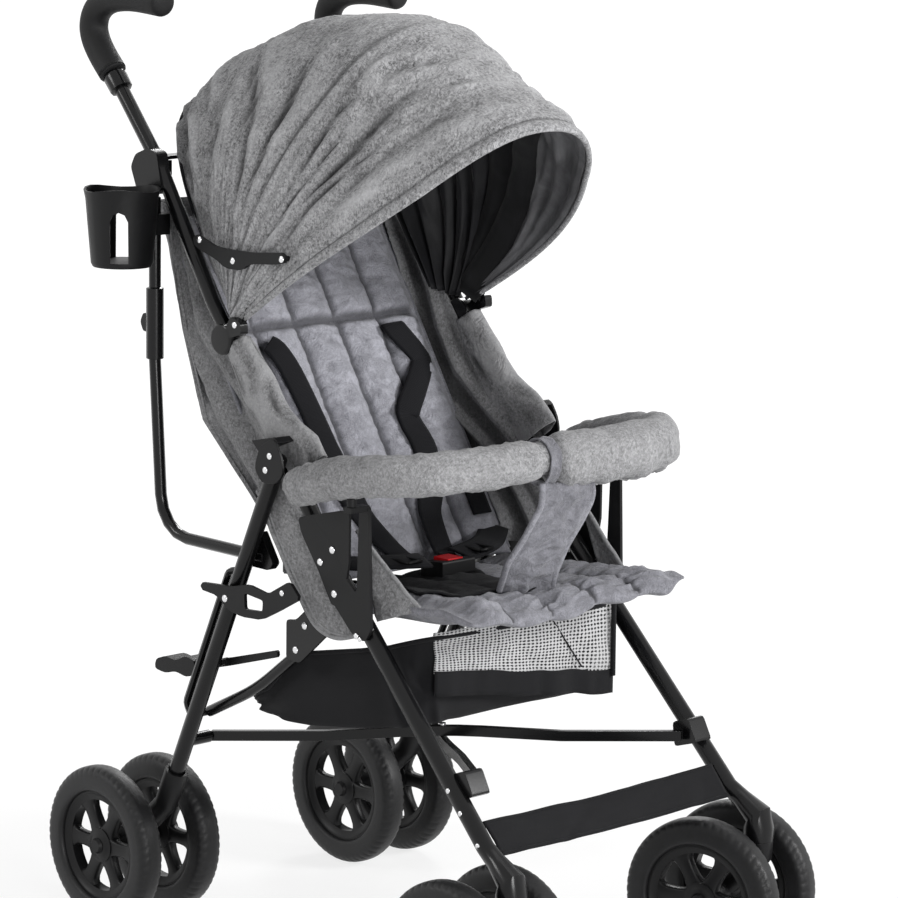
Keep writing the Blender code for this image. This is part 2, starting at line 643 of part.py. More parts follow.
def build_side_brace(side, sign):
    """Lock plate with a finger window, outside the rear leg."""
    inner = 0.1968
    outline = [(-0.142, 0.402), (-0.168, 0.404), (-0.190, 0.405), (-0.219, 0.412), (-0.250, 0.407), (-0.284, 0.426),
               (-0.301, 0.410), (-0.266, 0.391), (-0.240, 0.378), (-0.210, 0.376), (-0.188, 0.379), (-0.168, 0.392),
               (-0.142, 0.394)]
    verts, faces = prism_x(round_outline(outline, 0.004, 1), sign * inner, sign * (inner + 0.004))
    obj = add_object(f"side_brace_{side}", verts, faces, BLACK_PLASTIC, side_point(sign, inner, SIDE_BRACE_PIVOT), 30)
    window = [(-0.213, 0.402), (-0.243, 0.399), (-0.242, 0.387), (-0.214, 0.385)]
    window_verts, window_faces = prism_x(round_outline(window, 0.003, 2), sign * (inner - 0.01), sign * (inner + 0.01))
    boolean(obj, add_helper(f"window_shape_{side}", window_verts, window_faces), "DIFFERENCE")
    reach = sign * (0.1944 - inner - 0.001)
    boss = lathe_x([(0.0, 0.0), (0.0, 0.0040), (reach, 0.0040), (reach, 0.0)],
                   side_point(sign, inner + 0.001, SIDE_BRACE_PIVOT), 12)
    boolean(obj, add_helper(f"lock_boss_{side}", *boss), "UNION")
    return obj


def bar_points(sign, lift):
    """Centre line of a cross bar from the rear end on one side to the front end on the other."""
    rear = Vector((sign * 0.1465, BAR_REAR[0], BAR_REAR[1]))
    front = Vector((-sign * 0.1465, BAR_FRONT[0], BAR_FRONT[1]))
    points = []
    for t in (0.0, 0.25, 0.42, 0.47, 0.53, 0.58, 0.75, 1.0):
        p = rear.lerp(front, t)
        raised = 1.0 - smooth_step((abs(t - 0.5) - 0.03) / 0.20)
        points.append(p + Vector((0, 0, lift * raised)))
    return points


def build_cross_bars():
    """Two flat bars that cross under the seat, and the pin through both."""
    half_w = 0.0040
    half_h = 0.0055
    step = half_h + CLEAR / 2
    centre = Vector((0.0, (BAR_REAR[0] + BAR_FRONT[0]) / 2, (BAR_REAR[1] + BAR_FRONT[1]) / 2))
    slope = atan2(BAR_FRONT[1] - BAR_REAR[1], BAR_REAR[0] - BAR_FRONT[0])
    axis = Vector((0.0, sin(slope), cos(slope)))
    for name, sign, lift in (("x_bar_a", -1, step), ("x_bar_b", 1, -step)):
        points = bar_points(sign, lift)
        verts = []
        for i, p in enumerate(points):
            along = points[min(i + 1, len(points) - 1)] - points[max(i - 1, 0)]
            flat = Vector((along.x, along.y, 0)).normalized()
            across = Vector((-flat.y, flat.x, 0))
            for a, b in ((-1, -1), (1, -1), (1, 1), (-1, 1)):
                verts.append(p + across * half_w * a + Vector((0, 0, half_h * b)))
        obj = add_object(name, verts, ring_faces(0, 4, len(points)), BLACK_PAINT, centre, 30)
        hole_verts, hole_faces = sweep([centre - axis * 0.03, centre + axis * 0.03], 0.0025, 12)
        boolean(obj, add_helper(f"pin_hole_{name}", hole_verts, hole_faces), "DIFFERENCE")
    reach = 2 * half_h + CLEAR * 1.5 + 0.0006
    path = [centre - axis * (reach + 0.0020), centre - axis * reach, centre - axis * reach, centre + axis * reach,
            centre + axis * reach, centre + axis * (reach + 0.0020)]
    verts, faces = sweep(path, [0.0036, 0.0042, 0.0020, 0.0020, 0.0042, 0.0036], 12)
    add_object("x_pin", verts, faces, STEEL, centre, 35)


def build_upper_brace(side, sign):
    """One half of the folding brace behind the canopy."""
    low = upper_brace_low(sign)
    outline = []
    reach = 0.150
    y0 = -0.005
    rest = radians(12.0)
    length = (reach + 0.0075) / cos(rest)
    along = Vector((-cos(rest), sin(rest)))
    across = Vector((along.y, -along.x))
    half = 0.0095
    for end, turn in ((0.0, -1), (length - 0.004, 1)):
        for k in range(9):
            a = -pi / 2 + pi * k / 8
            p = along * (end + turn * half * cos(a)) + across * (half * sin(a) * turn)
            outline.append(p)
    verts = []
    for z in (low, low + 0.004):
        for p in outline:
            verts.append(Vector((sign * (reach + p.x), y0 + p.y, z)))
    count = len(outline)
    faces = [tuple(range(count)), tuple(reversed(range(count, 2 * count)))]
    faces += [(k, (k + 1) % count, count + (k + 1) % count, count + k) for k in range(count)]
    pivot = (sign * reach, y0, low)
    return add_object(f"upper_brace_{side}", verts, faces, BLACK_PAINT, pivot, 30)


def build_cup_holder():
    """Flared cup with a handle slot through both walls and a clamp on the rear tube."""
    cx = -0.2215
    cy = -0.036
    base = 0.728
    top = 0.810
    outer = [(0.0310, base), (0.0330, base + 0.004), (0.0385, top - 0.010), (0.0405, top)]
    inner = [(0.0380, top), (0.0362, top - 0.010), (0.0308, base + 0.006), (0.0, base + 0.0035)]

    def wave(angle, z):
        return 0.0018 * cos(3 * angle + 0.6) if z > top - 0.001 else 0.0

    segments = 20
    rows = outer + inner[:-1]
    verts = []
    for k in range(segments):
        a = 2 * pi * k / segments
        for r, z in rows:
            verts.append(Vector((cx + r * cos(a), cy + r * sin(a), z + wave(a, z))))
    count = len(rows)
    faces = []
    for k in range(segments):
        n = (k + 1) % segments
        for i in range(count - 1):
            faces.append((k * count + i, n * count + i, n * count + i + 1, k * count + i + 1))
    faces.append(tuple(k * count for k in reversed(range(segments))))
    faces.append(tuple(k * count + count - 1 for k in range(segments)))
    obj = add_object("cup_holder", verts, faces, BLACK_PLASTIC, (cx, cy, base), 40)
    turn = radians(43.6)
    slot = [(-0.0095, base + 0.006), (0.0095, base + 0.006), (0.0095, 0.778), (0.0060, 0.7855), (0.0, 0.788),
            (-0.0060, 0.7855), (-0.0095, 0.778)]
    slot_verts = []
    for reach in (-0.06, 0.06):
        for x, z in slot:
            slot_verts.append(Vector((cx + x * cos(turn) + reach * sin(turn), cy - x * sin(turn) + reach * cos(turn), z)))
    count = len(slot)
    slot_faces = [tuple(reversed(range(count))), tuple(range(count, 2 * count))]
    slot_faces += [(k, (k + 1) % count, count + (k + 1) % count, count + k) for k in range(count)]
    arm = box(-0.1895, -0.1600, LINK_TOP[0] - 0.0125, LINK_TOP[0] + 0.0125, 0.758, 0.780)
    boolean(obj, add_helper("cup_clamp_shape", *arm), "UNION")
    bore = sweep([(-LINK_X, LINK_TOP[0], 0.74), (-LINK_X, LINK_TOP[0], 0.80)], LINK_TUBE_R + CLEAR, 12)
    boolean(obj, add_helper("cup_clamp_bore", *bore), "DIFFERENCE")
    boolean(obj, add_helper("cup_slot_shape", slot_verts, slot_faces), "DIFFERENCE")
    return obj


def build_fold_lever():
    """Pedal lever on the right rear leg, with two foot lobes behind it."""
    x0 = BRACE_X + BRACE_TUBE_R + CLEAR
    outline = [(-0.227, 0.3385), (-0.228, 0.3310), (-0.150, 0.3075), (-0.094, 0.2920), (-0.092, 0.3020), (-0.150, 0.3165)]
    verts, faces = prism_x(round_outline(outline, 0.002, 1), -x0, -(x0 + 0.004))
    obj = add_object("fold_lever", verts, faces, BLACK_PLASTIC, side_point(-1, x0, LEVER_PIVOT), 30)
    pedal = [(-0.1020, 0.3060), (-0.086, 0.3080), (-0.070, 0.3000), (-0.052, 0.3020), (-0.036, 0.2960), (-0.034, 0.2850),
             (-0.052, 0.2830), (-0.070, 0.2880), (-0.088, 0.2850), (-0.1020, 0.2900)]
    pedal_verts, pedal_faces = prism_x(round_outline(pedal, 0.005, 2), -0.1500, -0.1765)
    boolean(obj, add_helper("pedal_shape", pedal_verts, pedal_faces), "UNION")
    boss = lathe_x([(0.0, 0.0), (0.0, 0.0040), (x0 - 0.1737, 0.0040), (x0 - 0.1737, 0.0)],
                   side_point(-1, x0, LEVER_PIVOT), 12)
    boolean(obj, add_helper("lever_boss", *boss), "UNION")
    return obj


# Soft pieces

def canopy_arch(alpha):
    """Reach, squareness and half-width of the canopy's hoop at an angle above forward, in degrees."""
    knots = [(36, 0.372, 2.25, 0.166), (44, 0.360, 2.25, 0.168), (68, 0.338, 2.3, 0.170), (90, 0.322, 2.5, 0.167),
             (108, 0.305, 2.8, 0.160), (127, 0.292, 3.3, 0.151)]
    for (a0, *v0), (a1, *v1) in zip(knots, knots[1:]):
        if alpha <= a1:
            t = smooth_step((alpha - a0) / (a1 - a0))
            return [lerp(p, q, t) for p, q in zip(v0, v1)]
    return knots[-1][1:]


def canopy_point(alpha, t, inset=0.0):
    reach, square, half = canopy_arch(alpha)
    c = cos(t)
    s = max(sin(t), 1e-6)
    r = (reach - inset) * s ** (2 / square)
    bulge = 1.0 + 0.085 * sin(min(s * 1.35, 1.0) * pi) * smooth_step((120 - alpha) / 30)
    side = -1 if c > 0 else 1
    x = side * (half - inset) * abs(c) ** (2 / square) * bulge
    wing = 6.0 * c * c * smooth_step((50 - alpha) / 13)
    a = radians(alpha - wing)
    return Vector((x, CANOPY_PIVOT[0] - r * cos(a), CANOPY_PIVOT[1] + r * sin(a)))


def canopy_sheet(first, last, rows, cols, thick):
    grid = []
    start = 0.055
    angles = [lerp(start, pi - start, j / (cols - 1)) for j in range(cols)]
    angles = [t - 0.16 * sin(2 * t) for t in angles]
    for i in range(rows):
        alpha = lerp(first, last, i / (rows - 1))
        grid.append([canopy_point(alpha, t) for t in angles])
    inner = []
    for i in range(rows):
        alpha = lerp(first, last, i / (rows - 1))
        inner.append([canopy_point(alpha, t, thick) - outer for t, outer in zip(angles, grid[i])])
    return shell(grid, inner)


def build_canopy():
    pivot = (0.0, CANOPY_PIVOT[0], CANOPY_PIVOT[1])
    split = 68.0
    verts, faces = canopy_sheet(split + 0.15, 127.0, 7, 25, 0.0024)
    add_object("canopy_rear", verts, faces, MELANGE_GREY, pivot, 60)
    verts, faces = canopy_sheet(37.0, split - 0.15, 5, 25, 0.0024)
    add_object("canopy_front", verts, faces, MELANGE_GREY, pivot, 60)


def build_canopy_stay(side, sign):
    outline = [(-0.116, 0.768), (-0.112, 0.758), (-0.122, 0.752), (-0.150, 0.744), (-0.166, 0.736), (-0.190, 0.736),
               (-0.204, 0.744), (-0.250, 0.748), (-0.262, 0.752), (-0.258, 0.761), (-0.204, 0.756), (-0.178, 0.756),
               (-0.150, 0.757)]
    inner = 0.1845
    verts, faces = prism_x(round_outline(outline, 0.004, 1), sign * inner, sign * (inner + 0.004))
    pivot = side_point(sign, inner, (-0.124, 0.762))
    obj = add_object(f"canopy_stay_{side}", verts, faces, BLACK_PLASTIC, pivot, 30)
    reach = -sign * 0.0117
    boss = lathe_x([(0.0, 0.0), (0.0, 0.0030), (reach, 0.0030), (reach, 0.0)],
                   side_point(sign, inner + 0.001, (-0.250, 0.7535)), 10)
    boolean(obj, add_helper(f"stay_boss_{side}", *boss), "UNION")
    return obj


BACK_SLOPE = 0.632
BACK_BASE = (-0.092, 0.655)
BACK_HALF = 0.140
CHANNELS = 5


def back_front_y(z):
    return BACK_BASE[0] + (z - BACK_BASE[1]) * BACK_SLOPE


def build_back_cushion():
    """Padded back with sewn upright channels, a cross seam, a crown and drawn-in edges."""
    z0 = 0.4060
    z1 = 0.772
    rows = 11
    cols = 21
    thick = 0.020
    lean = Vector((0, -1.0, BACK_SLOPE)).normalized()
    grid = []
    offsets = []
    for i in range(rows):
        v = i / (rows - 1)
        z = lerp(z0, z1, v)
        row = []
        row_off = []
        for j in range(cols):
            u = j / (cols - 1)
            edge_v = min(v, 1 - v) * 2
            half = BACK_HALF * (1 - 0.04 * (1 - smooth_step(edge_v * 4)))
            x = lerp(-half, half, u)
            channel = abs(sin(pi * CHANNELS * u))
            round_edge = smooth_step(min(u, 1 - u) * 14) * smooth_step(edge_v * 7)
            seam = 1 - 0.55 * max(0.0, 1 - abs(z - 0.655) / 0.012)
            puff = 0.0065 * channel ** 0.6 * round_edge * seam
            p = Vector((x, back_front_y(z), z)) + lean * puff
            back = thick * (0.45 + 0.55 * round_edge) + puff
            row.append(p)
            row_off.append(lean * -back)
        grid.append(row)
        offsets.append(row_off)
    verts, faces = shell(grid, offsets)
    pivot = (0.0, BACK_PIVOT[0], BACK_PIVOT[1])
    add_object("back_cushion", verts, faces, SEAT_GREY, pivot, 60)


SEAT_CROWN = 0.0095


def build_seat_cushion():
    """Padded seat with channels from back to front, and side panels that hang from the front tubes."""
    y0 = -0.240
    y1 = -0.508
    rows = 11
    cols = 4 * CHANNELS + 1
    grid = []
    offsets = []
    for i in range(rows):
        v = i / (rows - 1)
        y = lerp(y0, y1, v)
        half = lerp(0.148, 0.153, smooth_step((v - 0.45) / 0.25))
        front_dip = 0.016 * smooth_step((v - 0.5) / 0.5)
        row = []
        row_off = []
        for j in range(cols):
            u = j / (cols - 1)
            x = lerp(-half, half, u)
            edge = smooth_step(min(u, 1 - u) * 9) * smooth_step(min(v, 1 - v) * 10)
            base = lerp(0.392, 0.412, v) + 0.010 * (2 * u - 1) ** 2
            crown = SEAT_CROWN * edge * (0.35 + 0.65 * abs(sin(pi * CHANNELS * u)) ** 0.7)
            drop = 0.018 * smooth_step((v - 0.86) / 0.14)
            ripple = 0.004 * sin(3.0 * pi * u + 0.8) * smooth_step((v - 0.6) / 0.4)
            top = base + crown - drop + ripple
            depth = 0.010 + 0.016 * edge
            row.append(Vector((x, y + front_dip * (1 - (2 * u - 1) ** 2), top)))
            row_off.append(Vector((0, 0, -depth)))
        grid.append(row)
        offsets.append(row_off)
    verts, faces = shell(grid, offsets)
    obj = add_object("seat_cushion", verts, faces, SEAT_GREY, (0, y0, 0.40), 60)
    for side, sign in SIDES:
        panel = [(-0.257, 0.500), (-0.2425, 0.5180), (-0.236, 0.512), (-0.254, 0.462), (-0.256, 0.420), (-0.238, 0.404),
                 (-0.238, 0.392), (-0.268, 0.392), (-0.302, 0.384), (-0.336, 0.376), (-0.353, 0.384), (-0.342, 0.400),
                 (-0.3330, 0.4090)]
        panel_verts, panel_faces = prism_x(round_outline(panel, 0.003, 1), sign * 0.1724, sign * 0.1744)
        boolean(obj, add_helper(f"panel_shape_{side}", panel_verts, panel_faces), "UNION")
        bridge = box(*sorted((sign * 0.142, sign * 0.1740)), -0.2462, -0.2402, 0.3950, 0.3990)
        boolean(obj, add_helper(f"bridge_shape_{side}", *bridge), "UNION")
    return obj


SHELL_REAR = ((0.438, -0.224), (0.490, -0.174), (0.564, -0.091), (0.657, -0.057), (0.762, -0.031), (0.790, -0.020))
TUBE_LINE = ((0.4235, -0.335), (0.659, -0.150), (0.694, -0.122), (0.835, -0.030))


def along_line(knots, z):
    """Value at a height on a line through (height, value) knots."""
    for (z0, v0), (z1, v1) in zip(knots, knots[1:]):
        if z <= z1:
            return lerp(v0, v1, (z - z0) / (z1 - z0))
    return knots[-1][1]


def shell_section(z):
    """Half outline of the seat shell at a height, from the frame tube to the middle of the back."""
    front = along_line(TUBE_LINE, z)
    rear = along_line(SHELL_REAR, z)
    inside = back_front_y(z)
    return [(0.1540, front), (0.1545, lerp(front, rear, 0.5)), (0.1535, rear - 0.004), (0.147, rear + 0.008),
            (0.134, max(rear + 0.018, inside + 0.017)), (0.070, max(rear + 0.026, inside + 0.0260)),
            (0.0, max(rear + 0.029, inside + 0.0270))]


def build_seat_shell():
    """Fabric shell behind and beside the back cushion, inside the frame tubes."""
    rows = 9
    grid = []
    for i in range(rows):
        z = lerp(0.440, 0.788, i / (rows - 1))
        half = shell_section(z)
        row = [Vector((-x, y, z)) for x, y in half] + [Vector((x, y, z)) for x, y in reversed(half[:-1])]
        grid.append(row)
    normals = grid_normals(grid)
    offsets = []
    for i in range(rows):
        row = []
        for j in range(len(grid[0])):
            n = normals[i][j].copy()
            n.z = 0
            n.normalize()
            if n.dot(Vector((grid[i][j].x, 0.10, 0))) < 0:
                n = -n
            row.append(n * 0.0025)
        offsets.append(row)
    verts, faces = shell(grid, offsets)
    add_object("seat_shell", verts, faces, MELANGE_GREY, (0, BACK_PIVOT[0], 0.47), 60)


def bumper_path(sign):
    spine = [(0.2010, -0.2920, 0.5240), (0.2015, -0.3300, 0.5370), (0.2000, -0.3780, 0.5490), (0.1920, -0.4200, 0.5550),
             (0.1650, -0.4500, 0.5580), (0.1150, -0.4630, 0.5590), (0.0600, -0.4620, 0.5580), (0.0045, -0.4550, 0.5570)]
    return [Vector((sign * x, y, z)) for x, y, z in spine]


def build_bumper(side, sign):
    verts, faces = sweep(bumper_path(sign), BUMPER_R, 14, round_ends=0.012)
    pivot = (sign * BUMPER_X, POST_Y, POST_TOP_Z)
    return add_object(f"bumper_{side}", verts, faces, BAR_GREY, pivot, 60)


def bumper_centre(x):
    """Point on the left bumper half's centre line at a distance from the middle."""
    path = bumper_path(1)
    for a, b in zip(path, path[1:]):
        if b.x <= x <= a.x:
            return a.lerp(b, (a.x - x) / (a.x - b.x))
    return path[-1]


def build_crotch_panel():
    """Cloth sleeve round the bumper's middle, with a panel down to the front of the seat."""
    inside = BUMPER_R + 3 * CLEAR
    wall = 0.0024
    count = 14
    grid = []
    offsets = []
    for j in range(5):
        centre = bumper_centre(lerp(0.0095, 0.064, j / 4))
        row = []
        row_off = []
        for k in range(count):
            a = 2 * pi * k / count
            out = Vector((0, cos(a), sin(a)))
            row.append(centre + out * inside)
            row_off.append(out * wall)
        grid.append(row)
        offsets.append(row_off)
    verts, faces = shell(grid, offsets, wrap=True)
    middle = bumper_centre(0.036)
    obj = add_object("crotch_panel", verts, faces, SEAT_GREY, middle, 60)
    low_y = -0.472
    low_z = 0.4078 + SEAT_CROWN
    grid = []
    offsets = []
    for i in range(7):
        v = i / 6
        z = lerp(middle.z - inside - wall / 2, low_z, v)
        row = []
        row_off = []
        for j in range(7):
            u = j / 6
            left = lerp(0.012, -0.030, smooth_step(v))
            right = lerp(0.062, 0.034, smooth_step(v * 1.1))
            y = lerp(middle.y - 0.004, low_y, v) - 0.008 * sin(pi * v) + 0.003 * sin(2.5 * pi * v) * sin(pi * u)
            row.append(Vector((lerp(left, right, u), y, z)))
            row_off.append(Vector((0, 0.006 + 0.004 * sin(pi * u) * sin(pi * v), 0)))
        grid.append(row)
        offsets.append(row_off)
    panel_verts, panel_faces = shell(grid, offsets)
    boolean(obj, add_helper("crotch_cloth_shape", panel_verts, panel_faces), "UNION")
    return obj


def strap_sheet(points, half, thick):
    """Flat strap along a path of (point, sideways, outward) frames."""
    grid = []
    offsets = []
    for p, across, out in points:
        across = Vector(across).normalized()
        grid.append([Vector(p) - across * half, Vector(p), Vector(p) + across * half])
        offsets.append([Vector(out).normalized() * thick] * 3)
    return shell(grid, offsets)


def build_harness():
    """Shoulder straps from the back cushion down to the middle buckle."""
    lean = Vector((0, -1.0, BACK_SLOPE)).normalized()
    pieces = []
    for sign in (-1, 1):
        frames = []
        for z, x in ((0.646, 0.093), (0.60, 0.083), (0.56, 0.075), (0.52, 0.067), (0.48, 0.056), (0.452, 0.044)):
            p = Vector((sign * x, back_front_y(z), z)) + lean * 0.0069
            frames.append((p, (1, 0, 0), lean))
        end = Vector((sign * 0.014, -0.268, 0.4233))
        frames.append((Vector((sign * 0.028, -0.252, 0.4335)), (1, 0.25 * sign, 0), (0, -0.6, 1)))
        frames.append((end, (1, 0.35 * sign, 0), (0, -0.2, 1)))
        pieces.append(strap_sheet(frames, 0.0165, 0.0030))
    obj = add_object("harness", *pieces[0], STRAP_BLACK, (0, BACK_PIVOT[0], BACK_PIVOT[1]), 60)
    boolean(obj, add_helper("harness_left_shape", *pieces[1]), "UNION")
    tie = box(-0.020, 0.020, -0.2916, -0.262, 0.4231, 0.4281)
    boolean(obj, add_helper("harness_tie_shape", *tie), "UNION")
    return obj


def build_buckle():
    """Harness buckle with a well for its red button."""
    drop = 0.0037
    outline = round_outline([(-0.292, 0.4120 - drop), (-0.292, 0.4290 - drop), (-0.326, 0.4330 - drop),
                             (-0.326, 0.4160 - drop)], 0.003, 2)
    verts, faces = prism_x(outline, -0.024, 0.024)
    obj = add_object("buckle", verts, faces, BLACK_PLASTIC, (0, -0.309, 0.420 - drop), 30)
    well = box(-0.0115, 0.0115, -0.3205, -0.2975, 0.4235 - drop, 0.4400)
    boolean(obj, add_helper("button_well", *well), "DIFFERENCE")
    base = box(-0.0111, 0.0111, -0.3201, -0.2979, 0.4275 - drop, 0.4335 - drop)
    button = add_object("buckle_button", *base, BUTTON_RED, (0, -0.309, 0.4305 - drop), 30)
    return obj, button


def build_footrest():
    """Foot band between the front legs, wrapped round both."""
    low = side_point(1, 0.1775, LEG_LOW)
    knee = side_point(1, SIDE_X, KNEE)
    down = (low - knee).normalized()
    top = low.lerp(knee, 0.085)
    rows = 4
    cols = 15
    out = Vector((0, -0.71, 0.705)).normalized()
    grid = []
    offsets = []
    for i in range(rows):
        row = []
        row_off = []
        for j in range(cols):
            u = j / (cols - 1)
            x = lerp(-0.1668, 0.1668, u)
            sag = 0.006 * sin(pi * u)
            p = Vector((x, top.y, top.z)) + Vector((0, down.y, down.z)) * (0.040 * i / (rows - 1)) + out * (0.004 - sag)
            row.append(p)
            row_off.append(out * -0.003)
        grid.append(row)
        offsets.append(row_off)
    verts, faces = shell(grid, offsets)
    return add_object("footrest", verts, faces, STRAP_BLACK, (0, top.y, top.z), 60)


BASKET_Y = -0.247
BASKET_FRONT = 0.173
BASKET_REAR = 0.117
BASKET_RIM = ((0.130, 0.264), (0.150, 0.270), (0.190, 0.288), (0.225, 0.320), (0.256, 0.3425),
              (0.320, 0.351), (0.420, 0.366))
BASKET_BASE = ((0.130, 0.2515), (0.200, 0.2530), (0.260, 0.2580), (0.340, 0.2720), (0.420, 0.2880))
BASKET_MIDDLE_Z = 0.2515


def basket_ring(level, segments):
    """Ring of the basket's cloth, from its rim (0) to the edge of its floor (1). It is widest at the braces."""
    half_x = lerp(BRACE_X - BRACE_TUBE_R - CLEAR, 0.134, level ** 1.85)
    points = []
    for k in range(segments):
        a = 2 * pi * k / segments
        c = cos(a)
        s = sin(a)
        x = half_x * (1 if c > 0 else -1) * abs(c) ** 0.45
        reach = BASKET_REAR if s > 0 else -BASKET_FRONT
        y = BASKET_Y + reach * lerp(1.0, 0.93, level) * abs(s) ** 0.45
        sag = 0.004 * sin(pi * (x / half_x * 0.5 + 0.5)) * (1 - level)
        z = lerp(along_line(BASKET_RIM, -y), along_line(BASKET_BASE, -y), level)
        points.append(Vector((x, y, z - sag)))
    return points


def build_basket():
    """Open cloth basket slung between the lower braces, with a high front and a low back."""
    wall = 0.0025
    segments = 24
    rings = [basket_ring(level, segments) for level in (0.0, 0.55, 1.0)]
    middle = Vector((0, BASKET_Y, BASKET_MIDDLE_Z))
    floor = [p.lerp(middle, 0.5) + Vector((0, 0, -0.002)) for p in rings[-1]]
    outer = rings + [floor]
    verts = [p for ring in outer for p in ring] + [middle]
    base = len(verts)
    for ring in outer:
        for p in ring:
            away = Vector((p.x, p.y - BASKET_Y, 0)).normalized()
            lift = 0.0 if ring is outer[0] else wall
            verts.append(p - away * wall + Vector((0, 0, lift)))
    verts.append(middle + Vector((0, 0, wall)))
    faces = []
    count = len(outer)
    for i in range(count - 1):
        for k in range(segments):
            n = (k + 1) % segments
            quad = (i * segments + k, i * segments + n, (i + 1) * segments + n, (i + 1) * segments + k)
            faces.append(quad)
            faces.append(tuple(base + q for q in reversed(quad)))
    for k in range(segments):
        n = (k + 1) % segments
        tail = (count - 1) * segments
        faces.append((tail + k, tail + n, count * segments))
        faces.append((base + tail + n, base + tail + k, base + count * segments))
        faces.append((n, k, base + k, base + n))
    return add_object("basket", verts, faces, STRAP_BLACK, (0, BASKET_Y, along_line(BASKET_RIM, -BASKET_Y)), 60)


def main():
    clear_scene()
    build_wheels()
    for side, sign in SIDES:
        build_rear_axle(side, sign)
        build_front_fork(side, sign)
        build_front_leg(side, sign)
        build_rear_leg(side, sign)
        build_hinge_bracket(side, sign)
        build_side_bracket(side, sign)
        build_handle_tube(side, sign)
        build_grip(side, sign)
        build_rear_tube(side, sign)
        build_lower_brace(side, sign)
        build_side_brace(side, sign)
        build_upper_brace(side, sign)
        build_canopy_stay(side, sign)
        build_bumper(side, sign)
    build_cross_bars()
    build_cup_holder()
    build_fold_lever()
    build_canopy()
    build_back_cushion()
    build_seat_cushion()
    build_seat_shell()
    build_crotch_panel()
    build_harness()
    build_buckle()
    build_footrest()
    build_basket()


main()
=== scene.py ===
"""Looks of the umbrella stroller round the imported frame: cloth, padding, straps, fasteners and finishes."""

import json
from math import cos, exp, pi, radians, sin, sqrt

import bpy
import bmesh
from mathutils import Matrix, Vector, noise


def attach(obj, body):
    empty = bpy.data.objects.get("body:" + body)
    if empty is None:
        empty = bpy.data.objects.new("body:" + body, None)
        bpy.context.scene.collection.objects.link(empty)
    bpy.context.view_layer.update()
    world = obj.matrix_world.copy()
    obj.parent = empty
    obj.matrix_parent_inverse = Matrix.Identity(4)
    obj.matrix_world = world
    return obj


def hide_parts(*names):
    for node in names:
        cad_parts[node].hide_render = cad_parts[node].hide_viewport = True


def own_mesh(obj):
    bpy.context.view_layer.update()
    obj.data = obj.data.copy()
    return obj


bl_info = {
    "name": "Stroller Looks",
    "version": (1, 0, 0),
    "blender": (4, 5, 0),
    "location": "3D View > Sidebar > Stroller",
    "description": "Builds the cloth, padding, straps, fasteners and finishes of an umbrella stroller",
    "category": "Object",
}

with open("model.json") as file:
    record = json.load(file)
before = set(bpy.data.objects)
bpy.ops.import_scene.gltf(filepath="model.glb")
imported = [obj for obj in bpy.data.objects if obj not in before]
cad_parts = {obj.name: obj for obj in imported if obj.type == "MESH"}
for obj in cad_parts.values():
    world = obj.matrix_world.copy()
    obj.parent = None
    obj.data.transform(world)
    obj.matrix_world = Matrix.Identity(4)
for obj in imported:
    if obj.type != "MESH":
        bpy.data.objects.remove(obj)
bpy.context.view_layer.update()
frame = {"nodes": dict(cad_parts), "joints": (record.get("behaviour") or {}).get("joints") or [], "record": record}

# The frame's middle plane and rear axle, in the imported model's coordinates
MIDDLE = Vector((0.0098, 0.2778, 0.0))
SIDES = (("right", -1), ("left", 1))
HOOD_PIVOT = (-0.150, 0.668)
# Share of its width that cloth is meant to keep when the frame is folded; settle only reads whether one is given
FOLDED_WIDTH = 0.55
PAD_FOLDED_WIDTH = 0.46
REAR_FOLDED_WIDTH = 0.52
# Least width of a sheet's worked-out flat size
NARROWEST = 0.012


def at(x, y, z):
    """A point given from the middle plane and the rear axle."""
    return Vector((x, y, z)) + MIDDLE


def lerp(a, b, t):
    return a + (b - a) * t


def smooth_step(t):
    t = min(max(t, 0.0), 1.0)
    return t * t * (3 - 2 * t)


def hump(t, centre, width):
    return exp(-((t - centre) / width) ** 2)


def along(knots, t):
    """Value at t on a line through (t, value) knots; a value may be a number or a tuple."""
    for (t0, v0), (t1, v1) in zip(knots, knots[1:]):
        if t <= t1:
            break
    k = min(max((t - t0) / (t1 - t0), 0.0), 1.0)
    if isinstance(v0, tuple):
        return tuple(lerp(a, b, k) for a, b in zip(v0, v1))
    return lerp(v0, v1, k)


def wrinkle(x, y, seed):
    """Soft noise from about -1 to 1."""
    return noise.noise(Vector((x, y, seed * 7.31 + 0.5))) * 1.6


def crease(x, y, seed):
    """Sharp-ridged noise from 0 to 1, as pressed folds in cloth."""
    return max(0.0, 1 - 2.6 * abs(noise.noise(Vector((x, y, seed * 5.17 + 3.2)))))


def signed_power(value, power):
    """Power of a number's size, with its sign kept."""
    return (1 if value > 0 else -1) * abs(value) ** power


def lengths(points):
    """Distance along a line of points, at each of them."""
    out = [0.0]
    for a, b in zip(points, points[1:]):
        out.append(out[-1] + (b - a).length)
    return out


def surface(rows, cols, point):
    """Grid of point(u, v), with u along a row and v from row to row, both from 0 to 1."""
    return [[point(j / (cols - 1), i / (rows - 1)) for j in range(cols)] for i in range(rows)]


def quads(rows, cols, wrap=False, caps=False):
    """Faces over rows of points that are numbered row by row."""
    faces = []
    for i in range(rows - 1):
        for j in range(cols if wrap else cols - 1):
            n = (j + 1) % cols
            faces.append((i * cols + j, i * cols + n, (i + 1) * cols + n, (i + 1) * cols + j))
    if caps:
        faces.append(tuple(reversed(range(cols))))
        faces.append(tuple((rows - 1) * cols + j for j in range(cols)))
    return faces


# Meshes

def link_piece(name, mesh):
    """Object in the scene for a mesh, lamp or camera."""
    piece = bpy.data.objects.new(name, mesh)
    bpy.context.scene.collection.objects.link(piece)
    return piece


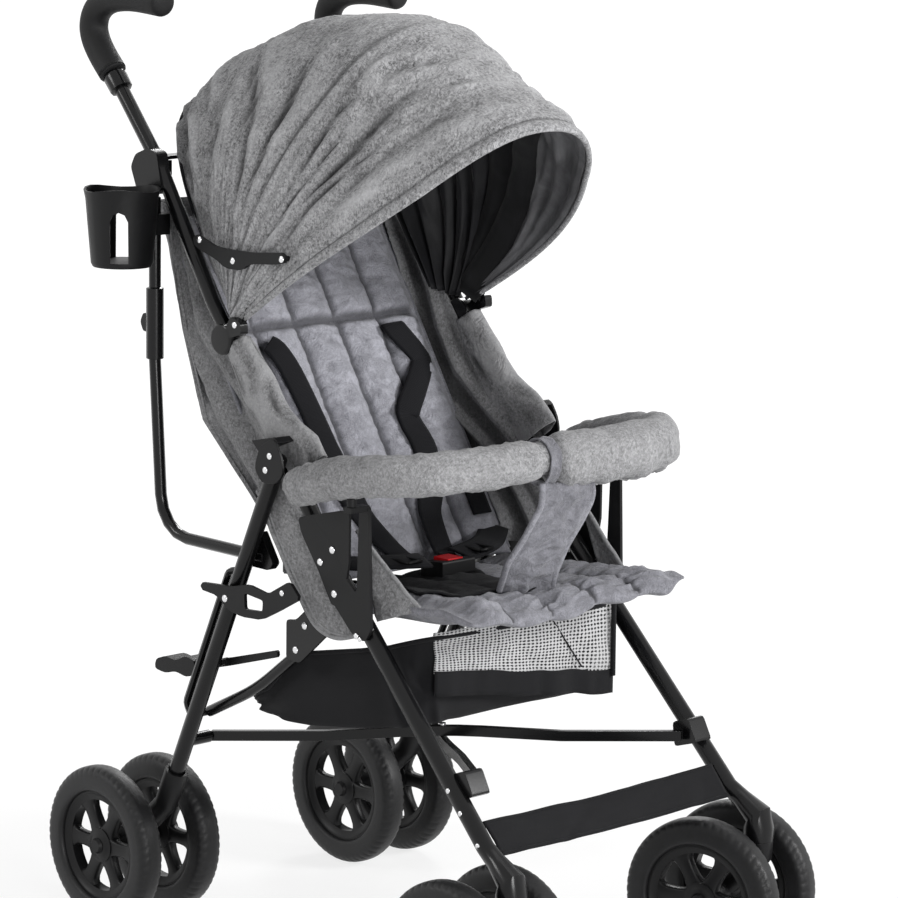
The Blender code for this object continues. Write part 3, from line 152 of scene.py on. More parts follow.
def mesh_piece(name, verts, faces, look, uvs=None, painted_shading=None):
    """Makes a piece from points, faces and, where given, UV in metres and a point attribute called tone, which
    holds painted shade and painted highlights.
    """
    mesh = bpy.data.meshes.new(name)
    mesh.from_pydata([tuple(v) for v in verts], [], faces)
    mesh.validate()
    if uvs is not None:
        layer = mesh.uv_layers.new(name="UVMap")
        index = [0] * len(mesh.loops)
        mesh.loops.foreach_get("vertex_index", index)
        flat = []
        for i in index:
            flat += list(uvs[i])
        layer.data.foreach_set("uv", flat)
    if painted_shading is not None:
        tone = mesh.attributes.new("tone", "FLOAT", "POINT")
        tone.data.foreach_set("value", painted_shading)
    mesh.shade_smooth()
    mesh.materials.append(look)
    return link_piece(name, mesh)


def grid_piece(name, grid, look, wrap=False, painted_shading=None, caps=False):
    """Piece over rows of points, with UV by the cloth's own length."""
    rows = len(grid)
    cols = len(grid[0])
    u = lengths(grid[rows // 2])
    v = lengths([row[cols // 2] for row in grid])
    uvs = [(u[j], v[i]) for i in range(rows) for j in range(cols)]
    shading_values = [m for row in painted_shading for m in row] if painted_shading else None
    return mesh_piece(name, [p for row in grid for p in row], quads(rows, cols, wrap, caps), look, uvs, shading_values)


def outward(piece):
    """Turns a closed piece's faces outwards."""
    bm = bmesh.new()
    bm.from_mesh(piece.data)
    bmesh.ops.remove_doubles(bm, verts=bm.verts, dist=1e-6)
    bmesh.ops.recalc_face_normals(bm, faces=bm.faces)
    bm.to_mesh(piece.data)
    bm.free()
    return piece


def baked(piece):
    """Replaces a piece's mesh by what its modifiers make of it."""
    deps = bpy.context.evaluated_depsgraph_get()
    final = piece.evaluated_get(deps)
    mesh = bpy.data.meshes.new_from_object(final, preserve_all_data_layers=True, depsgraph=deps)
    piece.modifiers.clear()
    piece.data = mesh
    return piece


def thick(piece, wall, offset):
    """Gives a sheet its thickness, outside it (offset 1) or half on each side (0)."""
    mod = piece.modifiers.new("wall", "SOLIDIFY")
    mod.thickness = wall
    mod.offset = offset
    mod.use_even_offset = False
    return baked(piece)


def tangents(pts):
    """Direction of a line of points at each of them."""
    last = len(pts) - 1
    return [(pts[min(i + 1, last)] - pts[max(i - 1, 0)]).normalized() for i in range(last + 1)]


def tube(name, path, radius, look, sides=10, caps=True):
    """Round bar along a path; the radius may be a list."""
    pts = [Vector(p) for p in path]
    radii = radius if isinstance(radius, list) else [radius] * len(pts)
    side = Vector((0.31, 0.12, 1.0))
    turns = [2 * pi * k / sides for k in range(sides)]
    verts = []
    for p, t, r in zip(pts, tangents(pts), radii):
        side = (side - t * side.dot(t)).normalized()
        up = t.cross(side)
        verts += [p + side * r * cos(a) + up * r * sin(a) for a in turns]
    uvs = [(2 * pi * r * k / sides, v) for r, v in zip(radii, lengths(pts)) for k in range(sides)]
    return outward(mesh_piece(name, verts, quads(len(pts), sides, True, caps), look, uvs))


def smooth_path(points, steps):
    """Catmull-Rom curve through points."""
    pts = [Vector(p) for p in points]
    out = []
    for i in range(len(pts) - 1):
        p0 = pts[max(i - 1, 0)]
        p1 = pts[i]
        p2 = pts[i + 1]
        p3 = pts[min(i + 2, len(pts) - 1)]
        for k in range(steps):
            t = k / steps
            out.append(0.5 * ((2 * p1) + (p2 - p0) * t + (2 * p0 - 5 * p1 + 4 * p2 - p3) * t * t
                              + (3 * p1 - p0 - 3 * p2 + p3) * t ** 3))
    out.append(pts[-1])
    return out


def ribbon(name, path, faces_out, width, wall, look, rows_across, crown):
    """Flat strap along a path; faces_out gives the outward direction and width the width at each point."""
    pts = [Vector(p) for p in path]
    grid = []
    for p, t, out, wide in zip(pts, tangents(pts), faces_out, width):
        out = (out - t * out.dot(t)).normalized()
        across = t.cross(out)
        row = []
        for j in range(rows_across):
            s = lerp(-0.5, 0.5, j / (rows_across - 1))
            row.append(p + across * wide * s + out * crown * (1 - (2 * s) ** 2))
        grid.append(row)
    return thick(grid_piece(name, grid, look), wall, 1.0)


def follow_fold(piece):
    """Gives the piece its own copy of its mesh."""
    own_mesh(piece)


def settle(piece, body, node=None, keep=None):
    """The piece rides on a body, takes a named node's place, and gets its own mesh where a kept width is given."""
    if node:
        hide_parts(node)
    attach(piece, body)
    if keep:
        follow_fold(piece)
    return piece


def declare_sheet(piece):
    """Works out a flat size for a cloth piece, which nothing keeps.

    Its flat size is a rectangle with the finished mesh's own area, as long as the mesh's longest side. It isn't a
    cutting pattern. A check of the area against it compares the mesh with itself.
    """
    area = sum(p.area for p in piece.data.polygons) / 2
    verts = [v.co for v in piece.data.vertices]
    longest = max(max(v[i] for v in verts) - min(v[i] for v in verts) for i in range(3))
    width = max(area / longest, NARROWEST)
    length = area / width


# Materials

def feed(tree, value, socket):
    """Links a value or a socket to a socket, or sets it to a plain number or colour."""
    if isinstance(value, Value):
        value = value.socket
    if isinstance(value, bpy.types.NodeSocket):
        tree.links.new(value, socket)
    else:
        socket.default_value = value


class Value:
    """A number socket that takes part in sums written as Python."""

    def __init__(self, look, socket):
        self.look = look
        self.socket = socket

    def maths(self, operation, *others):
        node = self.look.tree.nodes.new("ShaderNodeMath")
        node.operation = operation
        for slot, item in zip(node.inputs, (self, *others)):
            feed(self.look.tree, item, slot)
        return Value(self.look, node.outputs[0])

    def __add__(self, other):
        return self.maths("ADD", other)

    def __sub__(self, other):
        return self.maths("SUBTRACT", other)

    def __rsub__(self, other):
        return self.maths("MULTIPLY", -1.0).maths("ADD", other)

    def __mul__(self, other):
        return self.maths("MULTIPLY", other)

    def __truediv__(self, other):
        return self.maths("DIVIDE", other)

    def __pow__(self, other):
        return self.maths("POWER", other)

    def sine(self):
        return self.maths("SINE")

    def size(self):
        return self.maths("ABSOLUTE")

    def clamp(self):
        node = self.look.tree.nodes.new("ShaderNodeClamp")
        self.look.tree.links.new(self.socket, node.inputs[0])
        return Value(self.look, node.outputs[0])

    def ramp(self, low, high):
        """0 below low and 1 above high."""
        node = self.look.tree.nodes.new("ShaderNodeMapRange")
        node.interpolation_type = "SMOOTHSTEP"
        self.look.tree.links.new(self.socket, node.inputs["Value"])
        node.inputs["From Min"].default_value = low
        node.inputs["From Max"].default_value = high
        return Value(self.look, node.outputs["Result"])


class Look:
    """A material under construction."""

    def __init__(self, name, color, roughness, metallic=0.0):
        self.material = bpy.data.materials.new(name)
        self.material.use_nodes = True
        self.tree = self.material.node_tree
        self.shader = self.tree.nodes["Principled BSDF"]
        self.shader.inputs["Roughness"].default_value = roughness
        self.shader.inputs["Metallic"].default_value = metallic
        self.shader.inputs["Base Color"].default_value = (*color, 1.0)
        self.material.diffuse_color = (*color, 1.0)
        coords = self.tree.nodes.new("ShaderNodeTexCoord")
        self.object = coords.outputs["Object"]
        self.uv = coords.outputs["UV"]

    def node(self, kind, settings=(), **inputs):
        """Adds a node, with its settings set before its sockets."""
        node = self.tree.nodes.new(kind)
        for key, value in dict(settings).items():
            setattr(node, key, value)
        for key, value in inputs.items():
            feed(self.tree, value, node.inputs[key.replace("_", " ")])
        return node

    def stretched(self, scale):
        return self.node("ShaderNodeMapping", Vector=self.object, Scale=scale).outputs[0]

    def noise(self, scale, detail=2.0, rough=0.5, source=None, distortion=0.0):
        node = self.node("ShaderNodeTexNoise", Vector=source or self.object, Scale=scale, Detail=detail,
                         Roughness=rough, Distortion=distortion)
        return Value(self, node.outputs[0])

    def cells(self, scale):
        node = self.node("ShaderNodeTexVoronoi", Vector=self.object, Scale=scale)
        return Value(self, node.outputs["Distance"])

    def parts(self, source):
        node = self.node("ShaderNodeSeparateXYZ", Vector=source)
        return [Value(self, s) for s in node.outputs]

    def attribute(self, name):
        node = self.node("ShaderNodeAttribute", {"attribute_name": name})
        return Value(self, node.outputs["Fac"])

    def mix(self, factor, first, second):
        """Mixes two colours, each a tuple or a socket."""
        node = self.node("ShaderNodeMix", {"data_type": "RGBA"})
        for value, slot in ((factor, 0), (first, 6), (second, 7)):
            feed(self.tree, (*value, 1.0) if isinstance(value, tuple) else value, node.inputs[slot])
        return node.outputs[2]

    def paint(self, color=None, rough=None, alpha=None):
        for name, value in (("Base Color", color), ("Roughness", rough), ("Alpha", alpha)):
            if value is not None:
                feed(self.tree, value, self.shader.inputs[name])

    def relief(self, height, depth, strength=1.0):
        """Bump whose full height is depth metres."""
        node = self.node("ShaderNodeBump", Strength=strength, Distance=depth, Height=height)
        self.tree.links.new(node.outputs[0], self.shader.inputs["Normal"])

    def fixed(self, **sockets):
        for name, value in sockets.items():
            self.shader.inputs[name.replace("_", " ")].default_value = value
        return self.material


def shade(color, factor):
    return tuple(min(c * factor, 1.0) for c in color)


def melange_cloth(name, color, contrast):
    """Heathered woven cloth: crossed yarns of light and dark grey with slubs, and pressed crumples, with painted
    shade and painted highlights from the tone attribute.
    """
    look = Look(name, color, 0.92)
    yarn_u = look.noise(1.0, 3.0, 0.62, look.stretched((190, 1100, 190)))
    yarn_v = look.noise(1.0, 3.0, 0.62, look.stretched((1100, 190, 420)))
    slub = look.noise(300, 3.0, 0.75)
    cloud = look.noise(30, 4.0, 0.65)
    yarns = (yarn_u + yarn_v) / 2.0
    tone = yarns.ramp(0.39, 0.61) * 0.46 + slub.ramp(0.40, 0.62) * 0.36 + cloud.ramp(0.32, 0.68) * 0.18
    tone = tone.clamp()
    cloth = look.mix(tone, shade(color, 1 - contrast), shade(color, 1 + contrast))
    fold = look.noise(34, 4.0, 0.6, distortion=1.0)
    pressed = (fold - 0.5).size().ramp(0.0, 0.10)
    # Lighter along the pressed crumple lines
    crumple_lines = look.mix(pressed, shade(color, 1.28), cloth)
    # Painted shade where tone is above 0, painted highlight where it is below 0
    shading_mark = look.attribute("tone")
    body = look.mix((shading_mark * -1.0).ramp(0.0, 1.0) * 0.8, look.mix(0.72, crumple_lines, cloth), shade(color, 1.75))
    look.paint(look.mix(shading_mark.ramp(0.0, 1.0) * 0.85, body, shade(color, 0.10)), tone * -0.08 + 0.95)
    look.relief(yarns * 0.14 + fold * 0.46 + pressed * 0.40, 0.0018, 0.75)
    return look.fixed(Sheen_Weight=0.1, Sheen_Roughness=0.5, Specular_IOR_Level=0.2)


def padded_cloth(name, color):
    """Fine cover cloth, crumpled between its seams, with painted shade down in them."""
    look = Look(name, color, 0.86)
    yarn_u = look.noise(1.0, 2.0, 0.6, look.stretched((420, 2200, 420)))
    yarn_v = look.noise(1.0, 2.0, 0.6, look.stretched((2200, 420, 900)))
    yarn_w = look.noise(1.0, 2.0, 0.6, look.stretched((1400, 1400, 280)))
    yarns = (yarn_u + yarn_v + yarn_w) / 3.0
    cloud = look.noise(58, 4.0, 0.66, distortion=1.2)
    tone = (yarns.ramp(0.4, 0.6) * 0.5 + cloud.ramp(0.32, 0.68) * 0.5).clamp()
    cloth = look.mix(tone, shade(color, 0.66), shade(color, 1.26))
    # Painted shade in the seams, from the tone attribute
    seam = look.attribute("tone").ramp(0.0, 0.75) * 0.88
    look.paint(look.mix(seam, cloth, shade(color, 0.22)), cloud.ramp(0.3, 0.7) * -0.14 + 0.90)
    crush = look.noise(62, 5.0, 0.62, distortion=1.8)
    pressed = (crush - 0.5).size().ramp(0.0, 0.09)
    look.relief(yarns * 0.08 + crush * 0.47 + pressed * 0.45, 0.0026, 0.6)
    return look.fixed(Sheen_Weight=0.2, Sheen_Roughness=0.35, Specular_IOR_Level=0.28)


def lining_cloth(name, color):
    """Thin, slightly shiny lining with pressed creases."""
    look = Look(name, color, 0.6)
    pressed = look.noise(18, 4.0, 0.6, look.stretched((1.0, 1.0, 0.4)), distortion=0.8)
    weave = look.noise(1.0, 2.0, 0.5, look.stretched((1700, 1700, 700)))
    look.paint(look.mix(pressed.ramp(0.35, 0.7), shade(color, 0.7), shade(color, 1.5)), pressed * -0.2 + 0.68)
    look.relief(pressed * 0.8 + weave * 0.2, 0.0016, 0.5)
    return look.fixed(Sheen_Weight=0.1, Sheen_Roughness=0.4, Specular_IOR_Level=0.25)


def webbing(name, color, rib=0.0016):
    """Woven strap with fine cross ribs, read from the strap's own UV."""
    look = Look(name, color, 0.78)
    u, v = look.parts(look.uv)[:2]
    ribs = (v * (2 * pi / rib)).sine() * 0.5 + 0.5
    twill = ((u + v) * (2 * pi / (rib * 1.4))).sine() * 0.5 + 0.5
    fuzz = look.noise(900, 2.0, 0.6)
    look.paint(look.mix(ribs * 0.5 + fuzz * 0.5, shade(color, 0.65), shade(color, 1.8)), fuzz * 0.12 + 0.7)
    look.relief(ribs * 0.6 + twill * 0.4, 0.0004, 0.7)
    return look.fixed(Sheen_Weight=0.04, Sheen_Roughness=0.5, Specular_IOR_Level=0.15)


def painted_tube(name, color):
    """Satin powder coat with orange peel and faint scuffs."""
    look = Look(name, color, 0.33, 0.0)
    peel = look.noise(900, 2.0, 0.5)
    cloud = look.noise(14, 3.0, 0.6)
    scuff = look.noise(1.0, 4.0, 0.7, look.stretched((90, 90, 14))).ramp(0.66, 0.74)
    look.paint(look.mix(scuff * 0.2, color, shade(color, 2.0)), cloud * 0.08 + 0.20 + scuff * 0.06)
    look.relief(peel, 0.00003, 0.25)
    return look.fixed(Coat_Weight=0.35, Coat_Roughness=0.12, Coat_IOR=1.25, Specular_IOR_Level=0.22)


def moulded_plastic(name, color, rough=0.46, grain=1400):
    """Black moulded plastic with a fine spark-eroded grain."""
    look = Look(name, color, rough)
    fine = look.noise(grain, 2.0, 0.6)
    cloud = look.noise(28, 3.0, 0.6)
    rub = look.noise(90, 4.0, 0.7).ramp(0.60, 0.72)
    look.paint(look.mix(rub * 0.45, color, shade(color, 2.4)), cloud * 0.16 + (rough - 0.08) + rub * 0.10)
    look.relief(fine, 0.00016, 0.5)
    return look.fixed(Specular_IOR_Level=0.22)


def foam_rubber(name, color, rough, cell, spec=0.15):
    """Closed-cell foam with small pores."""
    look = Look(name, color, rough)
    pores = look.cells(cell)
    cloud = look.noise(35, 3.0, 0.6)
    spots = look.mix(cloud.ramp(0.35, 0.7), shade(color, 0.75), shade(color, 1.5))
    look.paint(spots, cloud * 0.14 + (rough - 0.07))
    look.relief(pores.ramp(0.0, 0.5) * 0.6 + cloud * 0.4, 0.0004, 0.5)
    return look.fixed(Sheen_Weight=0.02, Specular_IOR_Level=spec)


def bright_metal(name, color, rough=0.24):
    """Brushed metal."""
    look = Look(name, color, rough, 1.0)
    brush = look.noise(1.0, 2.0, 0.6, look.stretched((2200, 240, 2200)))
    look.paint(None, brush * 0.16 + (rough - 0.08))
    look.relief(brush, 0.00005, 0.4)
    return look.fixed()


def net_cloth(name, color):
    """Knitted net: slanted rows of small dark holes in light yarn, read from the panel's own UV."""
    pitch = 0.0068
    look = Look(name, color, 0.75)
    u, v = look.parts(look.uv)[:2]
    fuzz = look.noise(420, 3.0, 0.65)
    a = ((u * 0.62 + v) * (2 * pi / pitch) + fuzz * 2.4).sine()
    b = ((u * 0.62 - v) * (2 * pi / pitch) + fuzz * 2.4).sine()
    hole = (a * b + fuzz * 1.1 - 0.55).ramp(0.05, 0.40)
    look.paint(look.mix(hole, color, (0.022, 0.022, 0.024)), alpha=1 - (hole * 0.35))
    look.relief(1 - hole, 0.0006, 0.6)
    return look.fixed(Sheen_Weight=0.1)


LOOKS = {}


def make_looks(settings):
    """Fills LOOKS with every finish, under a short name."""
    hood = tuple(settings.hood_color)
    pad = tuple(settings.pad_color)
    # The hood cloth painted darker as painted shade for the sides, rear cloth, sleeves, panels and wings
    LOOKS["side"] = melange_cloth("grey_cloth_painted_shade", shade(hood, 0.76), 0.60)
    LOOKS["hood"] = melange_cloth("grey_melange_cloth", hood, 0.78)
    LOOKS["bar"] = melange_cloth("light_melange_cloth", tuple(settings.bar_color), 0.50)
    LOOKS["piping"] = melange_cloth("piping_cloth", shade(hood, 0.85), 0.25)
    # The pad's own cloth painted darker on the crotch and the seat, as painted shade
    LOOKS["crotch"] = padded_cloth("crotch_cloth_painted_shade", shade(pad, 0.48))
    LOOKS["seat"] = padded_cloth("seat_cloth_painted_shade", shade(pad, 0.60))
    LOOKS["pad"] = padded_cloth("lavender_cover_cloth", pad)
    LOOKS["pad_edge"] = padded_cloth("lavender_binding", shade(pad, 0.62))
    LOOKS["lining"] = lining_cloth("black_lining", (0.0065, 0.0065, 0.0080))
    LOOKS["visor_lining"] = lining_cloth("grey_lining", (0.135, 0.135, 0.140))
    LOOKS["band"] = lining_cloth("black_band", (0.006, 0.006, 0.0065))
    LOOKS["strap"] = webbing("black_webbing", (0.0065, 0.0065, 0.0080))
    LOOKS["black_cloth"] = webbing("black_cloth", (0.0062, 0.0062, 0.0072), 0.0011)
    LOOKS["tube"] = painted_tube("black_powder_coat", (0.0040, 0.0040, 0.0044))
    LOOKS["plastic"] = moulded_plastic("black_plastic", (0.0045, 0.0045, 0.0050))
    LOOKS["rim"] = moulded_plastic("wheel_plastic", (0.0042, 0.0042, 0.0046), 0.40, 1100)
    LOOKS["tyre"] = foam_rubber("tyre_foam", (0.0052, 0.0052, 0.0058), 0.42, 1500, 0.30)
    LOOKS["grip"] = foam_rubber("grip_foam", (0.0075, 0.0075, 0.0080), 0.62, 900, 0.25)
    LOOKS["steel"] = bright_metal("rivet_steel", (0.72, 0.72, 0.73))
    LOOKS["button"] = moulded_plastic("red_plastic", (0.55, 0.010, 0.014), 0.32, 900)
    LOOKS["net"] = net_cloth("grey_net", (0.50, 0.50, 0.505))
    LOOKS["thread"] = foam_rubber("grey_thread", (0.12, 0.12, 0.14), 0.7, 2000)


NODE_LOOKS = {
    "rim": "rim", "tyre": "tyre", "grip": "grip", "x_pin": "steel", "front_leg": "tube", "rear_leg": "tube",
    "handle_tube": "tube", "rear_tube": "tube", "lower_brace": "tube", "upper_brace": "tube", "x_bar": "tube",
    "rear_axle": "plastic", "front_fork": "plastic", "hinge_bracket": "plastic", "side_bracket": "plastic",
    "side_brace": "plastic", "canopy_stay": "plastic", "cup_holder": "plastic", "fold_lever": "plastic",
    "buckle_button": "button", "buckle": "plastic",
}


class StrollerSettings(bpy.types.PropertyGroup):
    hood_color: bpy.props.FloatVectorProperty(
        name="Hood cloth", description="Colour of the melange cloth on the hood and sides", subtype="COLOR",
        default=(0.305, 0.305, 0.312), min=0.0, max=1.0)
    pad_color: bpy.props.FloatVectorProperty(
        name="Pad cloth", description="Colour of the padded seat and back", subtype="COLOR",
        default=(0.410, 0.410, 0.455), min=0.0, max=1.0)
    bar_color: bpy.props.FloatVectorProperty(
        name="Bumper cloth", description="Colour of the bumper's cloth", subtype="COLOR",
        default=(0.270, 0.270, 0.276), min=0.0, max=1.0)
    floor_color: bpy.props.FloatVectorProperty(
        name="Floor", description="Colour of the studio floor", subtype="COLOR",
        default=(0.85, 0.85, 0.85), min=0.0, max=1.0)
    cloth_wall: bpy.props.FloatProperty(
        name="Cloth thickness", description="Thickness of the hood cloth", unit="LENGTH",
        default=0.0011, min=0.0004, max=0.003, precision=4)
    channels: bpy.props.IntProperty(
        name="Channels", description="Sewn channels across the back and the seat", default=5, min=2, max=9)
    rivet_radius: bpy.props.FloatProperty(
        name="Rivet radius", description="Radius of a rivet head", unit="LENGTH",
        default=0.0042, min=0.002, max=0.008, precision=4)
    edge_round: bpy.props.FloatProperty(
        name="Edge rounding", description="Width of the rounded edges on hard parts", unit="LENGTH",
        default=0.0007, min=0.0002, max=0.002, precision=4)


# Rivets and stitches, by Geometry Nodes

def new_tree(name, numbers):
    """Node tree with number inputs and a finish; gives it with its entry node and the inputs' names."""
    tree = bpy.data.node_groups.new(name, "GeometryNodeTree")
    tree.interface.new_socket("Geometry", in_out="INPUT", socket_type="NodeSocketGeometry")
    inputs = [tree.interface.new_socket(n, in_out="INPUT", socket_type="NodeSocketFloat") for n in numbers]
    inputs.append(tree.interface.new_socket("Finish", in_out="INPUT", socket_type="NodeSocketMaterial"))
    tree.interface.new_socket("Geometry", in_out="OUTPUT", socket_type="NodeSocketGeometry")
    return tree, tree.nodes.new("NodeGroupInput"), [item.identifier for item in inputs]


def place_copies(tree, entry, points, copy, direction, smooth):
    """Puts a copy of a mesh on each point, turned to a direction, with the finish."""
    link = tree.links.new
    turn = tree.nodes.new("FunctionNodeAlignRotationToVector")
    turn.axis = "Z"
    link(direction, turn.inputs["Vector"])
    copies = tree.nodes.new("GeometryNodeInstanceOnPoints")
    link(points, copies.inputs["Points"])
    link(copy, copies.inputs["Instance"])
    link(turn.outputs["Rotation"], copies.inputs["Rotation"])
    last = tree.nodes.new("GeometryNodeRealizeInstances")
    link(copies.outputs["Instances"], last.inputs["Geometry"])
    for kind in ["GeometryNodeSetShadeSmooth"] * smooth + ["GeometryNodeSetMaterial", "NodeGroupOutput"]:
        node = tree.nodes.new(kind)
        link(last.outputs["Geometry"], node.inputs["Geometry"])
        if kind == "GeometryNodeSetMaterial":
            link(entry.outputs["Finish"], node.inputs["Material"])
        last = node


def rivet_tree():
    """Node tree that puts a domed rivet head on each point, turned to the point's facing direction."""
    tree, entry, names = new_tree("rivet_heads", ["Radius"])
    link = tree.links.new
    head = tree.nodes.new("GeometryNodeMeshUVSphere")
    head.inputs["Segments"].default_value = 14
    head.inputs["Rings"].default_value = 8
    link(entry.outputs["Radius"], head.inputs["Radius"])
    flat = tree.nodes.new("GeometryNodeTransform")
    flat.inputs["Scale"].default_value = (1.0, 1.0, 0.42)
    link(head.outputs["Mesh"], flat.inputs["Geometry"])
    facing = tree.nodes.new("GeometryNodeInputNamedAttribute")
    facing.data_type = "FLOAT_VECTOR"
    facing.inputs["Name"].default_value = "facing"
    points = entry.outputs["Geometry"]
    place_copies(tree, entry, points, flat.outputs["Geometry"], facing.outputs["Attribute"], True)
    return tree, names


def stitch_tree():
    """Node tree that lays short threads along a curve."""
    tree, entry, names = new_tree("stitch_row", ["Pitch", "Gauge"])
    link = tree.links.new
    curve = tree.nodes.new("GeometryNodeMeshToCurve")
    link(entry.outputs["Geometry"], curve.inputs["Mesh"])
    spots = tree.nodes.new("GeometryNodeCurveToPoints")
    spots.mode = "LENGTH"
    link(curve.outputs["Curve"], spots.inputs["Curve"])
    link(entry.outputs["Pitch"], spots.inputs["Length"])
    thread = tree.nodes.new("GeometryNodeMeshCylinder")
    thread.inputs["Vertices"].default_value = 5
    link(entry.outputs["Gauge"], thread.inputs["Radius"])
    share = tree.nodes.new("ShaderNodeMath")
    share.operation = "MULTIPLY"
    share.inputs[1].default_value = 0.66
    link(entry.outputs["Pitch"], share.inputs[0])
    link(share.outputs[0], thread.inputs["Depth"])
    points = spots.outputs["Points"]
    place_copies(tree, entry, points, thread.outputs["Mesh"], spots.outputs["Tangent"], False)
    return tree, names


def grown(name, mesh, tree, values):
    """Piece that a node tree makes from a mesh's points or lines."""
    piece = link_piece(name, mesh)
    mod = piece.modifiers.new("grown", "NODES")
    mod.node_group, names = tree
    for key, value in zip(names, values):
        mod[key] = value
    return baked(piece)


def rivets(name, points, body, radius):
    """Rivet heads on points that are given with the direction each faces."""
    mesh = bpy.data.meshes.new(name)
    mesh.from_pydata([tuple(p) for p, n in points], [], [])
    facing = mesh.attributes.new("facing", "FLOAT_VECTOR", "POINT")
    facing.data.foreach_set("vector", [c for p, n in points for c in Vector(n).normalized()])
    settle(grown(name, mesh, TREES["rivet"], (radius, LOOKS["steel"])), body)


def stitches(name, lines, body, gauge=0.00035):
    """Threads along one or more lines of points, as one piece."""
    pitch = 0.0032
    verts = []
    edges = []
    for line in lines:
        base = len(verts)
        verts += [tuple(p) for p in line]
        edges += [(base + i, base + i + 1) for i in range(len(line) - 1)]
    mesh = bpy.data.meshes.new(name)
    mesh.from_pydata(verts, edges, [])
    settle(grown(name, mesh, TREES["stitch"], (pitch, gauge, LOOKS["thread"])), body, keep=FOLDED_WIDTH)


TREES = {}


# Stage

FLOOR_HALF = 30.0
# Name, place, aim, side in metres and power in watts
LAMPS = (
    ("key_light", (1.9, -3.1, 2.0), (0.0, -0.1, 0.6), 0.9, 104.0),
    ("near_light", (-1.3, -3.3, 0.9), (0.0, 0.0, 0.65), 0.9, 46.0),
    ("side_light", (-2.6, 1.6, 2.0), (0.0, 0.0, 0.6), 0.8, 22.0),
    ("rim_light", (2.4, 1.9, 2.4), (0.0, 0.0, 0.6), 1.0, 40.0),
    ("top_light", (0.2, 0.0, 3.4), (0.0, 0.0, 0.4), 1.8, 10.0),
)
# Strength of the white surroundings, as light and as the camera sees them
WORLD_LIGHT = 0.30
WORLD_SEEN = 1.0
# The photograph's camera: angles in degrees, aim, distance in metres, and focal length in its pixels
AZIMUTH = -43.56
ELEVATION = 9.99
ROLL = 0.84
AIM = (0.1503, -0.1496, 0.5065)
DISTANCE = 3.8809
FOCAL_PIXELS = 3479.09
PHOTO_PIXELS = 898
SENSOR = 36.0


class STROLLER_OT_stage(bpy.types.Operator):
    """Floor, studio light and camera at the photograph's angle"""
    bl_idname = "stroller.stage"
    bl_label = "Stage"

    def execute(self, context):
        self.floor(tuple(context.scene.stroller.floor_color))
        self.world(context.scene)
        for name, place, aim, side, power in LAMPS:
            lamp = bpy.data.lights.new(name, "AREA")
            lamp.shape = "SQUARE"
            lamp.size = side
            lamp.energy = power
            holder = link_piece(name, lamp)
            holder.location = place
            holder.rotation_mode = "QUATERNION"
            holder.rotation_quaternion = (Vector(aim) - Vector(place)).to_track_quat("-Z", "Y")
        self.camera(context.scene)
        context.scene.view_settings.view_transform = "Standard"
        return {"FINISHED"}

    def floor(self, color):
        """Floor that fades to plain white away from the object, where the camera sees it."""
        corners = [(x * FLOOR_HALF, y * FLOOR_HALF, 0) for x, y in ((-1, -1), (1, -1), (1, 1), (-1, 1))]
        look = Look("floor_paint", color, 0.9)
        look.paint(look.mix(look.noise(3.0, 2.0, 0.5), shade(color, 0.99), color))
        glow = look.node("ShaderNodeEmission", Color=(1, 1, 1, 1), Strength=1.1)
        path = look.node("ShaderNodeLightPath")
        rays = [Value(look, path.outputs[f"Is {ray} Ray"]) for ray in ("Camera", "Glossy", "Transmission")]
        x, y = look.parts(look.object)[:2]
        far = ((x * x + y * y) ** 0.5).ramp(0.55, 1.35)
        seen = (rays[0] + rays[1] + rays[2]).clamp() * (far * 0.30 + 0.70)
        facing = look.node("ShaderNodeMixShader")
        for value, slot in zip((seen, look.shader.outputs[0], glow.outputs[0]), facing.inputs):
            feed(look.tree, value, slot)
        feed(look.tree, facing.outputs[0], look.tree.nodes["Material Output"].inputs["Surface"])
        mesh_piece("studio_floor", corners, [(0, 1, 2, 3)], look.material)

    def world(self, scene):
        """Even surroundings, brighter as seen than as light."""
        world = bpy.data.worlds.new("studio")
        scene.world = world
        world.use_nodes = True
        tree = world.node_tree
        ground = tree.nodes["Background"]
        ground.inputs["Color"].default_value = (1, 1, 1, 1)
        path = tree.nodes.new("ShaderNodeLightPath")
        seen = path.outputs["Is Camera Ray"]
        for ray in ("Is Glossy Ray", "Is Transmission Ray"):
            either = tree.nodes.new("ShaderNodeMath")
            either.operation = "MAXIMUM"
            tree.links.new(seen, either.inputs[0])
            tree.links.new(path.outputs[ray], either.inputs[1])
            seen = either.outputs[0]
        level = tree.nodes.new("ShaderNodeMapRange")
        level.inputs["To Min"].default_value = WORLD_LIGHT
        level.inputs["To Max"].default_value = WORLD_SEEN
        tree.links.new(seen, level.inputs["Value"])
        tree.links.new(level.outputs["Result"], ground.inputs["Strength"])

    def camera(self, scene):
        azimuth = radians(AZIMUTH)
        elevation = radians(ELEVATION)
        roll = radians(ROLL)
        back = Vector((sin(azimuth) * cos(elevation), -cos(azimuth) * cos(elevation), sin(elevation)))
        right = (-back).cross(Vector((0, 0, 1))).normalized()
        up = right.cross(-back)
        across = right * cos(roll) + up * sin(roll)
        upward = up * cos(roll) - right * sin(roll)
        lens = bpy.data.cameras.new("photo_camera")
        lens.sensor_width = SENSOR
        lens.lens = FOCAL_PIXELS / PHOTO_PIXELS * SENSOR
        lens.clip_start = 0.1
        lens.clip_end = 100.0
        camera = link_piece("photo_camera", lens)
        turn = Matrix((across, upward, back)).transposed()
        camera.matrix_world = Matrix.Translation(at(*AIM) + back * DISTANCE) @ turn.to_4x4()
        scene.camera = camera


# Hard parts

NODE_BODY = {node: body for body, nodes in frame["record"]["behaviour"]["bodies"].items() for node in nodes}
